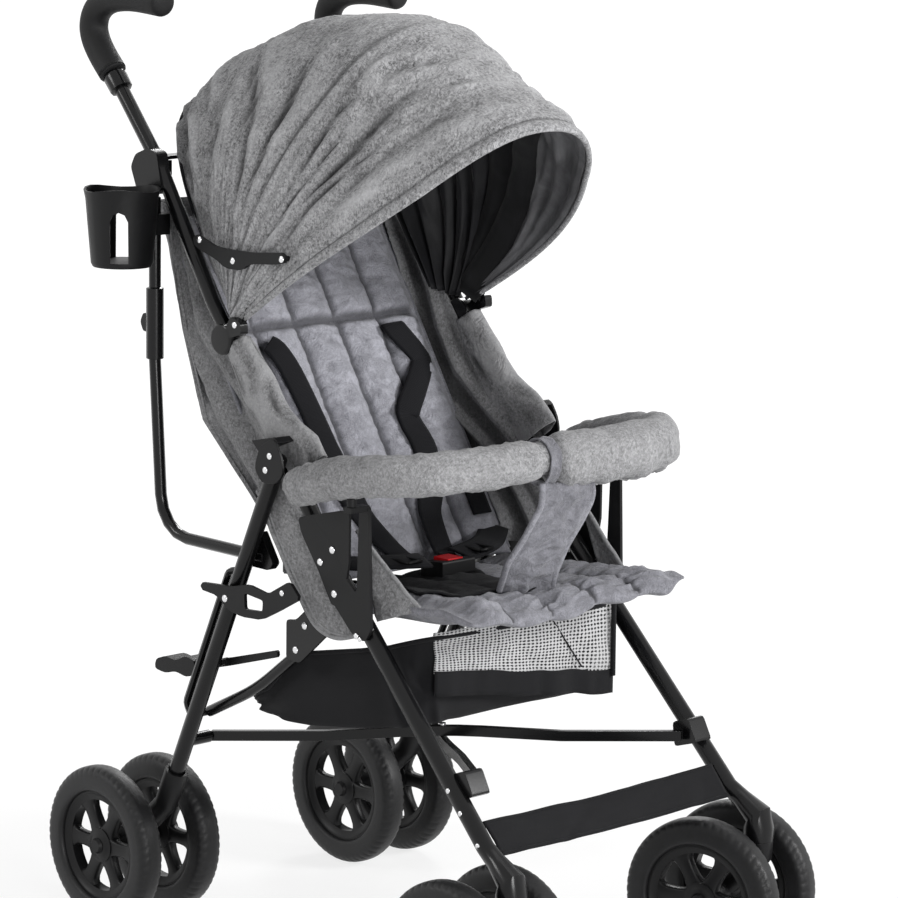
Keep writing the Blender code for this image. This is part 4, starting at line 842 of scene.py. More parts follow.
# Corner angle, in degrees, from which an edge of a hard part is rounded
ROUNDED_CORNER = 41.0


def look_of(node):
    """Finish of a hard node, by the longest name that fits, or none."""
    kinds = [k for k in NODE_LOOKS if node.startswith(k)]
    return NODE_LOOKS[max(kinds, key=len)] if kinds else None


def refined(node, look, bevel):
    """Smooth copy of a hard part with small rounded edges, which takes the plain one's place."""
    mesh = frame["nodes"][node].data.copy()
    mesh.name = f"{node}_finish"
    bm = bmesh.new()
    bm.from_mesh(mesh)
    bmesh.ops.remove_doubles(bm, verts=bm.verts, dist=2e-6)
    bmesh.ops.dissolve_limit(bm, angle_limit=radians(0.8), verts=bm.verts, edges=bm.edges)
    bm.to_mesh(mesh)
    bm.free()
    mesh.materials.clear()
    mesh.materials.append(look)
    mesh.shade_smooth()
    piece = link_piece(f"{node}_finish", mesh)
    mod = piece.modifiers.new("edges", "BEVEL")
    mod.limit_method = "ANGLE"
    mod.angle_limit = radians(ROUNDED_CORNER)
    mod.width = bevel
    mod.segments = 2
    mod.use_clamp_overlap = True
    normals = piece.modifiers.new("normals", "WEIGHTED_NORMAL")
    normals.keep_sharp = True
    settle(baked(piece), NODE_BODY[node], node)


def lathe(name, profile, place, axis, look, segments, shape=None):
    """Ring turned about an axis from (along, radius) points, which shape may move by their angle."""
    up = (Vector((0, 0, 1)) - axis * axis.z).normalized()
    side = axis.cross(up)
    verts = []
    uvs = []
    for k in range(segments):
        a = 2 * pi * k / segments
        for along_axis, r in profile:
            if shape:
                along_axis, r = shape(along_axis, r, a)
            verts.append(place + axis * along_axis + (side * cos(a) + up * sin(a)) * r)
            uvs.append((a * r, along_axis))
    rows = len(profile)
    faces = []
    for k in range(segments):
        n = (k + 1) % segments
        for i in range(rows):
            j = (i + 1) % rows
            faces.append((k * rows + i, n * rows + i, n * rows + j, k * rows + j))
    return outward(mesh_piece(name, verts, faces, look, uvs))


def joined(name, pieces, look, corner):
    """One piece from several, with edges over the corner angle kept sharp."""
    bm = bmesh.new()
    mesh = bpy.data.meshes.new(name)
    for piece in pieces:
        bm.from_mesh(piece.data)
        bpy.data.objects.remove(piece, do_unlink=True)
    bm.to_mesh(mesh)
    bm.free()
    mesh.materials.append(look)
    mesh.shade_smooth()
    mesh.set_sharp_from_angle(angle=radians(corner))
    return link_piece(name, mesh)


# Web between the side bracket's plate and its post, as (y, z), and the distances of its faces from the middle
BRACKET_WEB = ((-0.2860, 0.4925), (-0.3100, 0.4985), (-0.3400, 0.5060), (-0.3560, 0.5080), (-0.3560, 0.4560),
               (-0.3500, 0.4230), (-0.3400, 0.4060), (-0.3300, 0.4080), (-0.3180, 0.4260), (-0.3020, 0.4520))
WEB_X = (0.1806, 0.1836)


class STROLLER_OT_frame_finish(bpy.types.Operator):
    """Finishes and rounded edges of the frame's own parts, and the webs of the side brackets"""
    bl_idname = "stroller.frame_finish"
    bl_label = "Frame finish"

    def execute(self, context):
        edge = context.scene.stroller.edge_round
        for name, node in frame["nodes"].items():
            kind = look_of(name)
            if kind is None:
                continue
            node.data.materials.clear()
            node.data.materials.append(LOOKS[kind])
            if kind not in ("rim", "tyre", "grip"):
                refined(name, LOOKS[kind], edge)
        for side, sign in SIDES:
            points = [at(sign * x, y, z) for x in WEB_X for y, z in BRACKET_WEB]
            count = len(BRACKET_WEB)
            faces = [tuple(range(count)), tuple(reversed(range(count, 2 * count)))]
            faces += [(k, (k + 1) % count, count + (k + 1) % count, count + k) for k in range(count)]
            web = outward(mesh_piece(f"bracket_web_{side}", points, faces, LOOKS["plastic"]))
            web.data.set_sharp_from_angle(angle=radians(40))
            settle(web, f"{side}_frame")
        return {"FINISHED"}


# Wheels

# Half of a tyre's section, and a rim's ring and hub, as (along the axle, radius)
TYRE_SECTION = ((-0.0104, 0.0605), (-0.0140, 0.0622), (-0.0150, 0.0662), (-0.0150, 0.0725), (-0.0146, 0.0785),
                (-0.0128, 0.0832), (-0.0092, 0.0861), (-0.0048, 0.0873), (0.0, 0.0875))
RIM_RING = ((-0.0100, 0.0602), (-0.0100, 0.0583), (-0.0080, 0.0562), (-0.0064, 0.0505), (0.0064, 0.0505),
            (0.0080, 0.0562), (0.0100, 0.0583), (0.0100, 0.0602))
RIM_HUB = ((-0.0098, 0.0046), (-0.0098, 0.0120), (-0.0086, 0.0136), (-0.0076, 0.0190), (0.0076, 0.0190),
           (0.0086, 0.0136), (0.0098, 0.0120), (0.0098, 0.0046))
SPOKES = 6
# Sections of a spoke, as (radius, half width, half depth)
SPOKE = ((0.0165, 0.0112, 0.0068), (0.0200, 0.0092, 0.0063), (0.0260, 0.0080, 0.0060),
         (0.0340, 0.0078, 0.0057), (0.0420, 0.0084, 0.0057), (0.0465, 0.0102, 0.0060),
         (0.0495, 0.0140, 0.0063), (0.0540, 0.0170, 0.0064))
TREAD_CUTS = 56


def tread(along_axis, r, a):
    """Short slanted cuts on the tyre's shoulders."""
    shoulder = hump(abs(along_axis), 0.0112, 0.0026) * smooth_step((r - 0.072) / 0.006)
    slant = a * TREAD_CUTS + abs(along_axis) * 420.0
    cut = smooth_step((sin(slant) - 0.35) / 0.45)
    return along_axis, r - 0.0013 * cut * shoulder


class STROLLER_OT_wheels(bpy.types.Operator):
    """Round foam tyres with cut shoulders and six-spoke rims"""
    bl_idname = "stroller.wheels"
    bl_label = "Wheels"

    def execute(self, context):
        half = smooth_path([(x, r, 0) for x, r in TYRE_SECTION], 2)
        section = [(p.x, p.y) for p in half] + [(-p.x, p.y) for p in reversed(half[:-1])]
        look = LOOKS["rim"]
        for joint in frame["joints"]:
            wheel = joint["child"]
            if not wheel.endswith("_wheel"):
                continue
            tag = wheel[:-len("_wheel")]
            place = Vector(joint["pos_m"])
            axis = Vector(joint["axis"]).normalized()
            tyre = lathe(f"tyre_foam_{tag}", section, place, axis, LOOKS["tyre"], TREAD_CUTS * 6, tread)
            settle(tyre, wheel, f"tyre_{tag}")
            parts = [lathe("ring_part", RIM_RING, place, axis, look, 96),
                     lathe("hub_part", RIM_HUB, place, axis, look, 48)]
            parts += [self.spoke(place, axis, 2 * pi * s / SPOKES, look) for s in range(SPOKES)]
            settle(joined(f"wheel_disc_{tag}", parts, look, 38), wheel, f"rim_{tag}")
        return {"FINISHED"}

    def spoke(self, place, axis, turn, look):
        up = Vector((0, 0, 1))
        out = -axis.cross(up) * cos(turn) + up * sin(turn)
        across = axis.cross(out)
        grid = []
        for r, wide, deep in SPOKE:
            row = []
            for k in range(16):
                b = 2 * pi * k / 16
                row.append(place + out * r + across * wide * signed_power(cos(b), 0.45)
                           + axis * deep * signed_power(sin(b), 0.45))
            grid.append(row)
        return outward(grid_piece("spoke_part", grid, look, wrap=True, caps=True))


# Middle line of a grip, as (y, z), its distance from the middle plane and its radius
GRIP_SPINE = ((0.0462, 0.9238), (0.0650, 0.9425), (0.0770, 0.9590), (0.0805, 0.9740), (0.0745, 0.9890),
              (0.0590, 1.0000), (0.0370, 1.0055), (0.0050, 1.0065), (-0.0400, 1.0030))
GRIP_X = 0.168
GRIP_RADIUS = 0.0155


class STROLLER_OT_grips(bpy.types.Operator):
    """Foam hook grips"""
    bl_idname = "stroller.grips"
    bl_label = "Grips"

    def execute(self, context):
        for side, sign in SIDES:
            path = smooth_path([at(sign * GRIP_X, y, z) for y, z in GRIP_SPINE], 7)
            first = (path[1] - path[0]).normalized()
            last = (path[-1] - path[-2]).normalized()
            path = [path[0], path[0] + first * 0.0010, path[0] + first * 0.0030] + path[1:-1]
            path += [path[-1] + last * d for d in (0.0010, 0.0030, 0.0045, 0.0052)]
            radii = [0.0128, 0.0150] + [GRIP_RADIUS] * (len(path) - 6) + [0.0152, 0.0143, 0.0115, 0.0070]
            settle(tube(f"grip_foam_{side}", path, radii, LOOKS["grip"], 28), f"{side}_frame", f"grip_{side}")
        return {"FINISHED"}


# Hood

# Angles above forward, in degrees: the brim and its seam, the hoop, the rear edge and its hem
BRIM = 36.9
BRIM_SEAM = 38.9
BRIM_STITCHES = (38.55, 39.25)
HOOP = 68.0
REAR_EDGE = 127.0
REAR_HEM = 126.9
# Hood's hoop: angle, (reach, squareness, half width)
ARCH = ((34.0, (0.374, 2.25, 0.166)), (54.0, (0.338, 2.25, 0.169)), (68.0, (0.341, 2.3, 0.170)),
        (90.0, (0.322, 2.5, 0.167)), (108.0, (0.305, 2.8, 0.160)), (127.0, (0.292, 3.3, 0.151)))


def arch_at(alpha):
    """Reach, squareness and half width of the hood's hoop at an angle above forward."""
    for (a0, v0), (a1, v1) in zip(ARCH, ARCH[1:]):
        if alpha <= a1:
            break
    t = smooth_step((alpha - a0) / (a1 - a0))
    return [lerp(p, q, t) for p, q in zip(v0, v1)]


def hood_point(alpha, t, inset=0.0):
    """Point of the hood at a hoop angle and at t from the right side (0) over the top to the left (pi)."""
    reach, square, half = arch_at(alpha)
    c = cos(t)
    s = max(sin(t), 1e-6)
    r = (reach - inset) * s ** (2 / square)
    bulge = 1.0 + 0.085 * sin(min(s * 1.35, 1.0) * pi) * smooth_step((120 - alpha) / 30)
    side = -1 if c > 0 else 1
    x = side * (half - inset) * abs(c) ** (2 / square) * bulge
    wing = 6.0 * c * c * smooth_step((50 - alpha) / 13)
    a = radians(alpha - wing)
    return at(x, HOOD_PIVOT[0] - r * cos(a), HOOD_PIVOT[1] + r * sin(a))


def hood_angles(cols, start=0.055):
    """Places along the hoop, closer together at its sides."""
    even = [lerp(start, pi - start, j / (cols - 1)) for j in range(cols)]
    return [t - 0.16 * sin(2 * t) for t in even]


TALLEST_FOLD = 0.0060
# Long folds of the hood cloth: hoop angle, width in degrees, place and reach along the hoop, slant, height
HOOD_FOLDS = (
    (43.6, 1.5, 0.80, 0.42, 2.0, 0.0046), (47.4, 1.3, 0.66, 0.30, 4.0, 0.0056),
    (51.6, 1.7, 0.86, 0.34, 6.0, 0.0060), (55.4, 1.3, 0.58, 0.26, 7.0, 0.0050),
    (60.2, 1.9, 0.78, 0.36, 9.0, 0.0058), (64.6, 1.2, 0.98, 0.24, 8.0, 0.0034),
    (57.5, 1.2, 1.28, 0.16, -9.0, 0.0036), (51.0, 1.1, 1.34, 0.14, -12.0, 0.0030),
    (75.0, 2.6, 0.70, 0.40, 6.0, 0.0060), (83.0, 2.2, 0.52, 0.24, 14.0, 0.0044),
    (90.0, 3.4, 0.88, 0.22, 18.0, 0.0056), (101.0, 3.8, 0.60, 0.30, -8.0, 0.0040),
    (110.0, 2.6, 0.92, 0.20, 16.0, 0.0036), (119.0, 2.4, 0.70, 0.26, 6.0, 0.0034),
)


def hood_folds(alpha, t):
    """Height of the hood cloth's long folds, and their shade: above 0 in a valley, below 0 on a crest."""
    side = smooth_step(abs(cos(t)) * 1.35)
    place = t if t < pi / 2 else pi - t + 0.05
    drift = alpha if t < pi / 2 else alpha + 1.8
    within = smooth_step((HOOP - alpha) / 4) * smooth_step((alpha - 39.4) / 3)
    within += smooth_step((alpha - HOOP) / 5)
    out, shading_mark = 0.0, 0.0
    for angle, wide, middle, reach, slant, high in HOOD_FOLDS:
        across = (drift + 0.9 * wrinkle(place * 4, angle, 3.0) - angle - slant * (place - middle)) / wide
        if abs(across) < 4.5:
            lengthwise = exp(-((place - middle) / reach) ** 2)
            crest, valley = exp(-across * across), exp(-((across - 1.6) * 1.1) ** 2)
            out += high * (crest - 0.75 * valley) * lengthwise * within
            shading_mark += high / TALLEST_FOLD * (0.95 * valley - 0.42 * crest) * lengthwise * within
    soft = wrinkle(alpha * 0.11, t * 2.4, 2.0)
    sharp = crease(alpha * 0.20 + t, t * 3.4, 6.0) - 0.3
    small = crease(alpha * 0.5, t * 7.5, 7.0) - 0.3
    rough = 0.0030 * soft * (0.25 + 0.75 * side) + 0.0030 * sharp * (0.20 + 0.80 * side) + 0.0015 * small
    out += rough * within
    shading_mark -= (0.22 * soft + 0.28 * sharp + 0.30 * small) * within
    # Painted shade behind the hoop's step and in the brim seam, painted highlight just in front of the hoop
    shading_mark += 0.75 * hump(alpha, HOOP + 1.2, 1.1) * (0.35 + 0.65 * side) - 0.35 * hump(alpha, HOOP - 0.9, 1.3)
    shading_mark += 0.70 * hump(alpha, BRIM_SEAM, 0.35)
    return out, max(-1.0, min(shading_mark, 1.0))


def hood_relief(alpha, t):
    """How far the hood cloth stands out or in: hoop ridge, brim seam, long folds and crumples."""
    out = 0.0026 * hump(alpha, HOOP, 1.7) - 0.0022 * hump(alpha, BRIM_SEAM, 0.26)
    out += 0.0010 * hump(alpha, 37.7, 0.5)
    return out + hood_folds(alpha, t)[0] + 0.0006 * wrinkle(alpha * 0.9, t * 9.0, 5.0)


def hood_grid(first, last, rows, cols, inset):
    """Points of the hood cloth between two hoop angles, and their shades."""
    grid, painted_shading = [], []
    for i in range(rows):
        alpha = lerp(first, last, i / (rows - 1))
        grid.append([hood_point(alpha, t, inset - hood_relief(alpha, t)) for t in hood_angles(cols)])
        painted_shading.append([hood_folds(alpha, t)[1] for t in hood_angles(cols)])
    return grid, painted_shading


class STROLLER_OT_hood(bpy.types.Operator):
    """Hood: the fixed rear part, the folding front part, hems and seams"""
    bl_idname = "stroller.hood"
    bl_label = "Hood"

    def execute(self, context):
        wall = context.scene.stroller.cloth_wall
        for name, node, body, first, last, rows, inset in (
                ("hood_rear_cloth", "canopy_rear", "seat", HOOP - 0.5, REAR_EDGE, 130, 0.0),
                ("hood_front_cloth", "canopy_front", "hood", BRIM, HOOP + 0.3, 90, -0.0014)):
            grid, painted_shading = hood_grid(first, last, rows, 240, inset)
            piece = thick(grid_piece(name, grid, LOOKS["hood"], painted_shading=painted_shading), wall, 1.0)
            settle(piece, body, node, FOLDED_WIDTH)
            declare_sheet(piece)
        edge = [hood_point(BRIM, t, 0.0002) for t in hood_angles(110)]
        settle(tube("hood_brim_piping", edge, 0.0030, LOOKS["hood"], 10), "hood", keep=FOLDED_WIDTH)
        rear = [hood_point(REAR_HEM, t, 0.0004) for t in hood_angles(90)]
        settle(tube("hood_rear_hem", rear, 0.0026, LOOKS["strap"], 8), "seat", keep=FOLDED_WIDTH)
        seams = [[hood_point(alpha, t, -0.0012 - hood_relief(alpha, t)) for t in hood_angles(200)]
                 for alpha in BRIM_STITCHES]
        stitches("hood_brim_stitches", seams, "hood", gauge=0.0004)
        return {"FINISHED"}


# Straps across the front lining: hoop angle and width
HOOD_BANDS = ((51.0, 0.030), (62.0, 0.040))


def rear_pleat(alpha, t):
    """How far the rear lining hangs below the hood cloth, in pleats."""
    wave = 0.5 + 0.5 * sin(alpha * 0.55 + 1.6 * sin(t * 2.0) + 1.2 * wrinkle(alpha * 0.05, t * 2.0, 8.5))
    pleat = 0.0130 * wave ** 0.7 * smooth_step((alpha - 69) / 5)
    return pleat + 0.0035 * crease(alpha * 0.2, t * 3.0, 8.0)


def front_pleat(alpha, t):
    """How far the front lining follows the hood cloth."""
    return -0.0070 - hood_relief(alpha, t) + 0.0012 * crease(alpha * 0.13, t * 2.2, 9.5)


class STROLLER_OT_lining(bpy.types.Operator):
    """Hood lining: grey behind the brim, black and pleated behind the hoop, with straps across the front"""
    bl_idname = "stroller.lining"
    bl_label = "Hood lining"

    def execute(self, context):
        for part, look, body, first, last, rows, pleat in (
                ("rear", "lining", "seat", HOOP + 0.1, 126.0, 90, rear_pleat),
                ("front", "visor_lining", "hood", 37.6, HOOP - 0.1, 50, front_pleat)):
            grid = []
            for i in range(rows):
                alpha = lerp(first, last, i / (rows - 1))
                grid.append([hood_point(alpha, t, 0.0100 + pleat(alpha, t)) for t in hood_angles(170, 0.030)])
            piece = thick(grid_piece(f"hood_{part}_lining", grid, LOOKS[look]), 0.0006, 1.0)
            settle(piece, body, keep=FOLDED_WIDTH)
            declare_sheet(piece)
        for side, sign in SIDES:
            for k, (alpha, wide) in enumerate(HOOD_BANDS):
                self.band(f"hood_band_{side}_{k + 1}", sign, k, alpha, wide)
        return {"FINISHED"}

    def band(self, name, sign, k, alpha, wide):
        """Strap that stays clear of the hood's deepest folds over its own width."""
        path = []
        outs = []
        for i in range(26):
            t = lerp(0.035, 0.98, i / 25)
            t = pi - t if sign > 0 else t
            turn = alpha + 2.5 * sin(3 * t + k)
            dip = max(0.0, max(-hood_relief(turn + 0.7 * d, t) for d in range(-7, 8)))
            p = hood_point(turn, t, 0.0068 + dip)
            path.append(p)
            outs.append(at(0, HOOD_PIVOT[0] - 0.1, HOOD_PIVOT[1]) - p)
        strap = ribbon(name, path, outs, [wide] * len(path), 0.0012, LOOKS["band"], 5, 0.001)
        settle(strap, "hood", keep=FOLDED_WIDTH)
        declare_sheet(strap)


# Padding

# The back pad's plane as slope and (y, z), its lower and upper edge, half width and cross seam's height
BACK_SLOPE = 0.632
BACK_BASE = (-0.092, 0.655)
BACK_LEAN = Vector((0, -1.0, BACK_SLOPE)).normalized()
BACK_Z = (0.408, 0.771)
BACK_HALF = 0.1475
CROSS_SEAM = 0.655
# Greatest height of a channel, and thickness behind the pad's plane
BACK_PUFF = 0.0135
BACK_DEPTH = 0.0165
# The seat pad's rear and front edge
SEAT_Y = (-0.241, -0.507)


def back_front_y(z):
    """Where the back pad's plane is at a height."""
    return BACK_BASE[0] + (z - BACK_BASE[1]) * BACK_SLOPE


def channel_form(u, count, sharp=0.5):
    """Height across sewn channels, 0 in a seam and 1 between two."""
    return abs(sin(pi * count * u)) ** sharp


def quilt(u, v, count, seed):
    """Small pulled wrinkles that run across a channel from its seams."""
    near = 1 - channel_form(u, count) ** 2
    pull = (crease(u * count * 1.5 + 0.25 * sin(v * 40), v * 30, seed) - 0.3) * 0.0030
    return pull * (0.45 + 0.55 * near) + 0.0014 * wrinkle(u * 16, v * 26, seed + 1)


def back_pad_point(u, v, count):
    """Front point of the back pad, and how deep in a seam it lies, which the cloth shows as painted shade."""
    z = lerp(*BACK_Z, v)
    edge_v = min(v, 1 - v) * 2
    x = lerp(-BACK_HALF, BACK_HALF, u)
    round_edge = smooth_step(min(u, 1 - u) * 16) * smooth_step(edge_v * 9)
    form = channel_form(u, count)
    cross = hump(z, CROSS_SEAM, 0.0050)
    puff = BACK_PUFF * form * (0.25 + 0.75 * round_edge) * (1 - 0.80 * cross)
    pull = 1.5 * quilt(u, v, count, 11.0) * round_edge * form
    puff += pull
    wing = 0.0080 * abs(2 * u - 1) ** 5
    base = at(x, back_front_y(z) - wing, z)
    deep = max(1 - form / 0.66, 0.0, 0.9 * cross, min(0.40, (-pull - 0.0004) * 190))
    return base + BACK_LEAN * (puff - 0.0030), base, round_edge, min(deep, 1.0) * round_edge


def closed_pad(name, front, rear, look, painted_shading):
    """Closed cushion from a front grid and a rear grid that share their border."""
    rows, cols = len(front), len(front[0])
    base = rows * cols
    u = lengths(front[rows // 2])
    v = lengths([row[cols // 2] for row in front])
    uvs = [(u[j], v[i]) for i in range(rows) for j in range(cols)]
    uvs += [(p + 0.5, q) for p, q in uvs]
    faces = []
    for quad in quads(rows, cols):
        faces.append(quad)
        faces.append(tuple(base + q for q in reversed(quad)))
    ring = list(range(cols)) + [i * cols + cols - 1 for i in range(1, rows)]
    ring += [(rows - 1) * cols + j for j in range(cols - 2, -1, -1)]
    ring += [i * cols for i in range(rows - 2, 0, -1)]
    for a, b in zip(ring, ring[1:] + ring[:1]):
        faces.append((b, a, base + a, base + b))
    shading_values = [m for row in painted_shading for m in row] + [0.0] * base
    return outward(mesh_piece(name, [p for row in front + rear for p in row], faces, look, uvs, shading_values))


class STROLLER_OT_back_pad(bpy.types.Operator):
    """Padded back with sewn upright channels and a cross seam"""
    bl_idname = "stroller.back_pad"
    bl_label = "Back pad"

    def execute(self, context):
        count = context.scene.stroller.channels
        rows, cols = 150, 180
        front, rear, painted_shading = [], [], []
        for row in surface(rows, cols, lambda u, v: back_pad_point(u, v, count)):
            front.append([p for p, base, edge, deep in row])
            depths = [BACK_DEPTH * (0.30 + 0.70 * sqrt(edge)) for p, base, edge, deep in row]
            rear.append([base - BACK_LEAN * depth for (p, base, edge, deep), depth in zip(row, depths)])
            painted_shading.append([deep for p, base, edge, deep in row])
        piece = closed_pad("back_pad", front, rear, LOOKS["pad"], painted_shading)
        settle(piece, "back", "back_cushion", PAD_FOLDED_WIDTH)
        proud = BACK_LEAN * 0.0004
        lines = [[back_pad_point(k / count, lerp(0.03, 0.97, i / 70), count)[0] + proud for i in range(71)]
                 for k in range(1, count)]
        v = (CROSS_SEAM - BACK_Z[0]) / (BACK_Z[1] - BACK_Z[0])
        lines.append([back_pad_point(lerp(0.04, 0.96, i / 120), v, count)[0] + proud for i in range(121)])
        stitches("back_pad_stitches", lines, "back")
        border = [(i, 0) for i in range(0, rows, 3)] + [(rows - 1, j) for j in range(0, cols, 3)]
        border += [(i, cols - 1) for i in range(rows - 1, -1, -3)]
        rim = [front[i][j] * 0.55 + rear[i][j] * 0.45 for i, j in border]
        settle(tube("back_pad_piping", rim, 0.0024, LOOKS["pad_edge"], 8), "back", keep=PAD_FOLDED_WIDTH)
        return {"FINISHED"}


def seat_pad_pair(u, v, count):
    """Top and underside of the seat pad, and how deep in a seam the top lies, which the cloth shows as painted
    shade.
    """
    y = lerp(*SEAT_Y, v)
    half = lerp(0.1475, 0.1530, smooth_step((v - 0.45) / 0.25))
    x = lerp(-half, half, u)
    side = smooth_step(min(u, 1 - u) * 11)
    form = channel_form(u, count, 0.6)
    base = lerp(0.392, 0.412, v) + 0.010 * (2 * u - 1) ** 2
    front = min(max((v - 0.875) / 0.125, 0.0), 1.0)
    roll = sqrt(max(1 - front * front, 0.0))
    back = smooth_step(v * 10)
    lobe = smooth_step((v - 0.70) / 0.25)
    crown = 0.0100 * side * back * (0.30 + 0.70 * form) + 0.0040 * lobe * form * side
    crown += quilt(u, v * 0.8, count, 21.0) * side * back * (1.0 + 1.4 * lobe)
    drop = 0.0060 * smooth_step((v - 0.80) / 0.2)
    wave = 0.0040 * sin(3.0 * pi * u + 0.6) + 0.0065 * wrinkle(u * 6.5, v * 2, 23.0)
    wave *= smooth_step((v - 0.72) / 0.28)
    curl = 0.0170 * smooth_step((u - 0.90) / 0.10) * smooth_step((v - 0.82) / 0.14)
    curl -= 0.0035 * smooth_step((0.10 - u) / 0.10) * smooth_step((v - 0.80) / 0.15)
    middle = base - 0.0050 - drop + wave + curl
    dip = 0.012 * smooth_step((v - 0.5) / 0.5) * (1 - (2 * u - 1) ** 2)
    ahead = y + dip - 0.0060 * form * lobe * side + 0.0012 * wrinkle(u * 18, v * 4, 24.0) * lobe
    top = at(x, ahead, middle + (0.0050 + crown) * (0.12 + 0.88 * roll))
    depth = 0.0030 + 0.0095 * side * back * (1 - 0.7 * lobe) + 0.0012 * lobe * form
    under = at(x, ahead, middle - depth * (0.12 + 0.88 * roll))
    return top, under, min(max(1 - form / 0.45, 0.0), 1.0) * side


class STROLLER_OT_seat_pad(bpy.types.Operator):
    """Padded seat with channels from front to back and a lobed front edge"""
    bl_idname = "stroller.seat_pad"
    bl_label = "Seat pad"

    def execute(self, context):
        count = context.scene.stroller.channels
        grid = surface(150, 190, lambda u, v: seat_pad_pair(u, 1 - (1 - v) ** 1.35, count))
        top, under, painted_shading = [[[item[n] for item in row] for row in grid] for n in range(3)]
        piece = closed_pad("seat_pad", top, under, LOOKS["seat"], painted_shading)
        settle(piece, "seat", "seat_cushion", PAD_FOLDED_WIDTH)
        proud = Vector((0, 0, 0.0004))
        lines = [[seat_pad_pair(k / count, lerp(0.05, 0.97, i / 60), count)[0] + proud for i in range(61)]
                 for k in range(1, count)]
        stitches("seat_pad_stitches", lines, "seat")
        return {"FINISHED"}


# Sides and rear cloth

# The rear cloth's line and the frame tube's, as (z, y)
SHELL_REAR = ((0.438, -0.224), (0.490, -0.174), (0.564, -0.091), (0.657, -0.057), (0.762, -0.031),
              (0.790, -0.020))
TUBE_LINE = ((0.4235, -0.335), (0.659, -0.150), (0.694, -0.122), (0.835, -0.030))
# Lower outline of the cloth panel under the frame tube, and the tube's side of it, as (y, z)
PANEL_LOW = ((-0.2050, 0.5060), (-0.2150, 0.4960), (-0.2257, 0.4720), (-0.2420, 0.4470), (-0.2600, 0.4220),
             (-0.2850, 0.3898), (-0.3054, 0.3755), (-0.3287, 0.3715), (-0.3530, 0.3770), (-0.3820, 0.3880))
PANEL_TOP = ((-0.2200, 0.5560), (-0.2380, 0.5400), (-0.2600, 0.5150), (-0.2850, 0.4850), (-0.3100, 0.4560),
             (-0.3350, 0.4300), (-0.3450, 0.4180), (-0.3600, 0.4080), (-0.3740, 0.3980), (-0.3860, 0.3900))
# Corner wing between the frame and the seat's side, as (x, y, z)
WING = ((0.1600, -0.3420, 0.4830), (0.1480, -0.4260, 0.4120), (0.1640, -0.3780, 0.3950))
# Upper edge of the rear and side cloths, and the lower edge of each
CLOTH_TOP = 0.788
REAR_CLOTH_LOW = 0.440
SIDE_CLOTH_LOW = 0.418


def shell_section(z):
    """Points (x, y, 0) of the cloth round the back at a height, from the frame tube to the middle."""
    front = along(TUBE_LINE, z)
    rear = along(SHELL_REAR, z)
    inside = back_front_y(z)
    half = ((0.1556, front), (0.1556, lerp(front, rear, 0.5)), (0.1545, rear - 0.004), (0.147, rear + 0.008),
            (0.134, max(rear + 0.018, inside + 0.019)), (0.070, max(rear + 0.026, inside + 0.0270)),
            (0.0, max(rear + 0.029, inside + 0.0280)))
    return [(x, y, 0) for x, y in half]


def rear_cloth_row(z):
    """Points of the rear cloth at a height, from the right to the left."""
    left = smooth_path(shell_section(z)[2:], 9)
    row = [Vector((-p.x, p.y, 0)) for p in left] + list(reversed(left[:-1]))
    out = []
    for k, p in enumerate(row):
        s = k / (len(row) - 1)
        fold = 0.0050 * wrinkle(s * 5, z * 9, 31.0) + 0.0050 * (crease(s * 6, z * 14, 32.0) - 0.3)
        out.append(at(p.x, p.y + (fold + 0.002) * sin(pi * s), z))
    return out


def side_cloth_row(z, sign):
    """Points of a side cloth at a height, and their shades: dark between folds and beside the pad."""
    line = []
    shadows = []
    half = smooth_path(shell_section(z)[:4], 22)
    for k, p in enumerate(half):
        s = k / (len(half) - 1)
        ridge = abs(sin(pi * (3.3 * s + 1.1 * (0.79 - z) / 0.35 + 0.30 * sin(z * 27 + sign)))) ** 0.75
        gather = 0.0125 * (1 - ridge) + 0.0030 * crease(s * 5 + z * 6, z * 17, 33.0 + sign)
        gather *= sin(pi * min(s * 1.08, 1.0)) ** 0.6
        line.append(at(sign * (p.x + 0.0012 - gather), p.y, z))
        dark = smooth_step((ridge - 0.50) / 0.35) * smooth_step(s * 6) + smooth_step((s - 0.70) / 0.12)
        # Painted shade between folds and beside the pad, much stronger on the left, and painted highlight on the
        # fold crests
        shadows.append(min(dark, 1.0) * (0.85 if sign > 0 else 0.20) - 0.5 * (1 - ridge) * sin(pi * s))
    return line, shadows


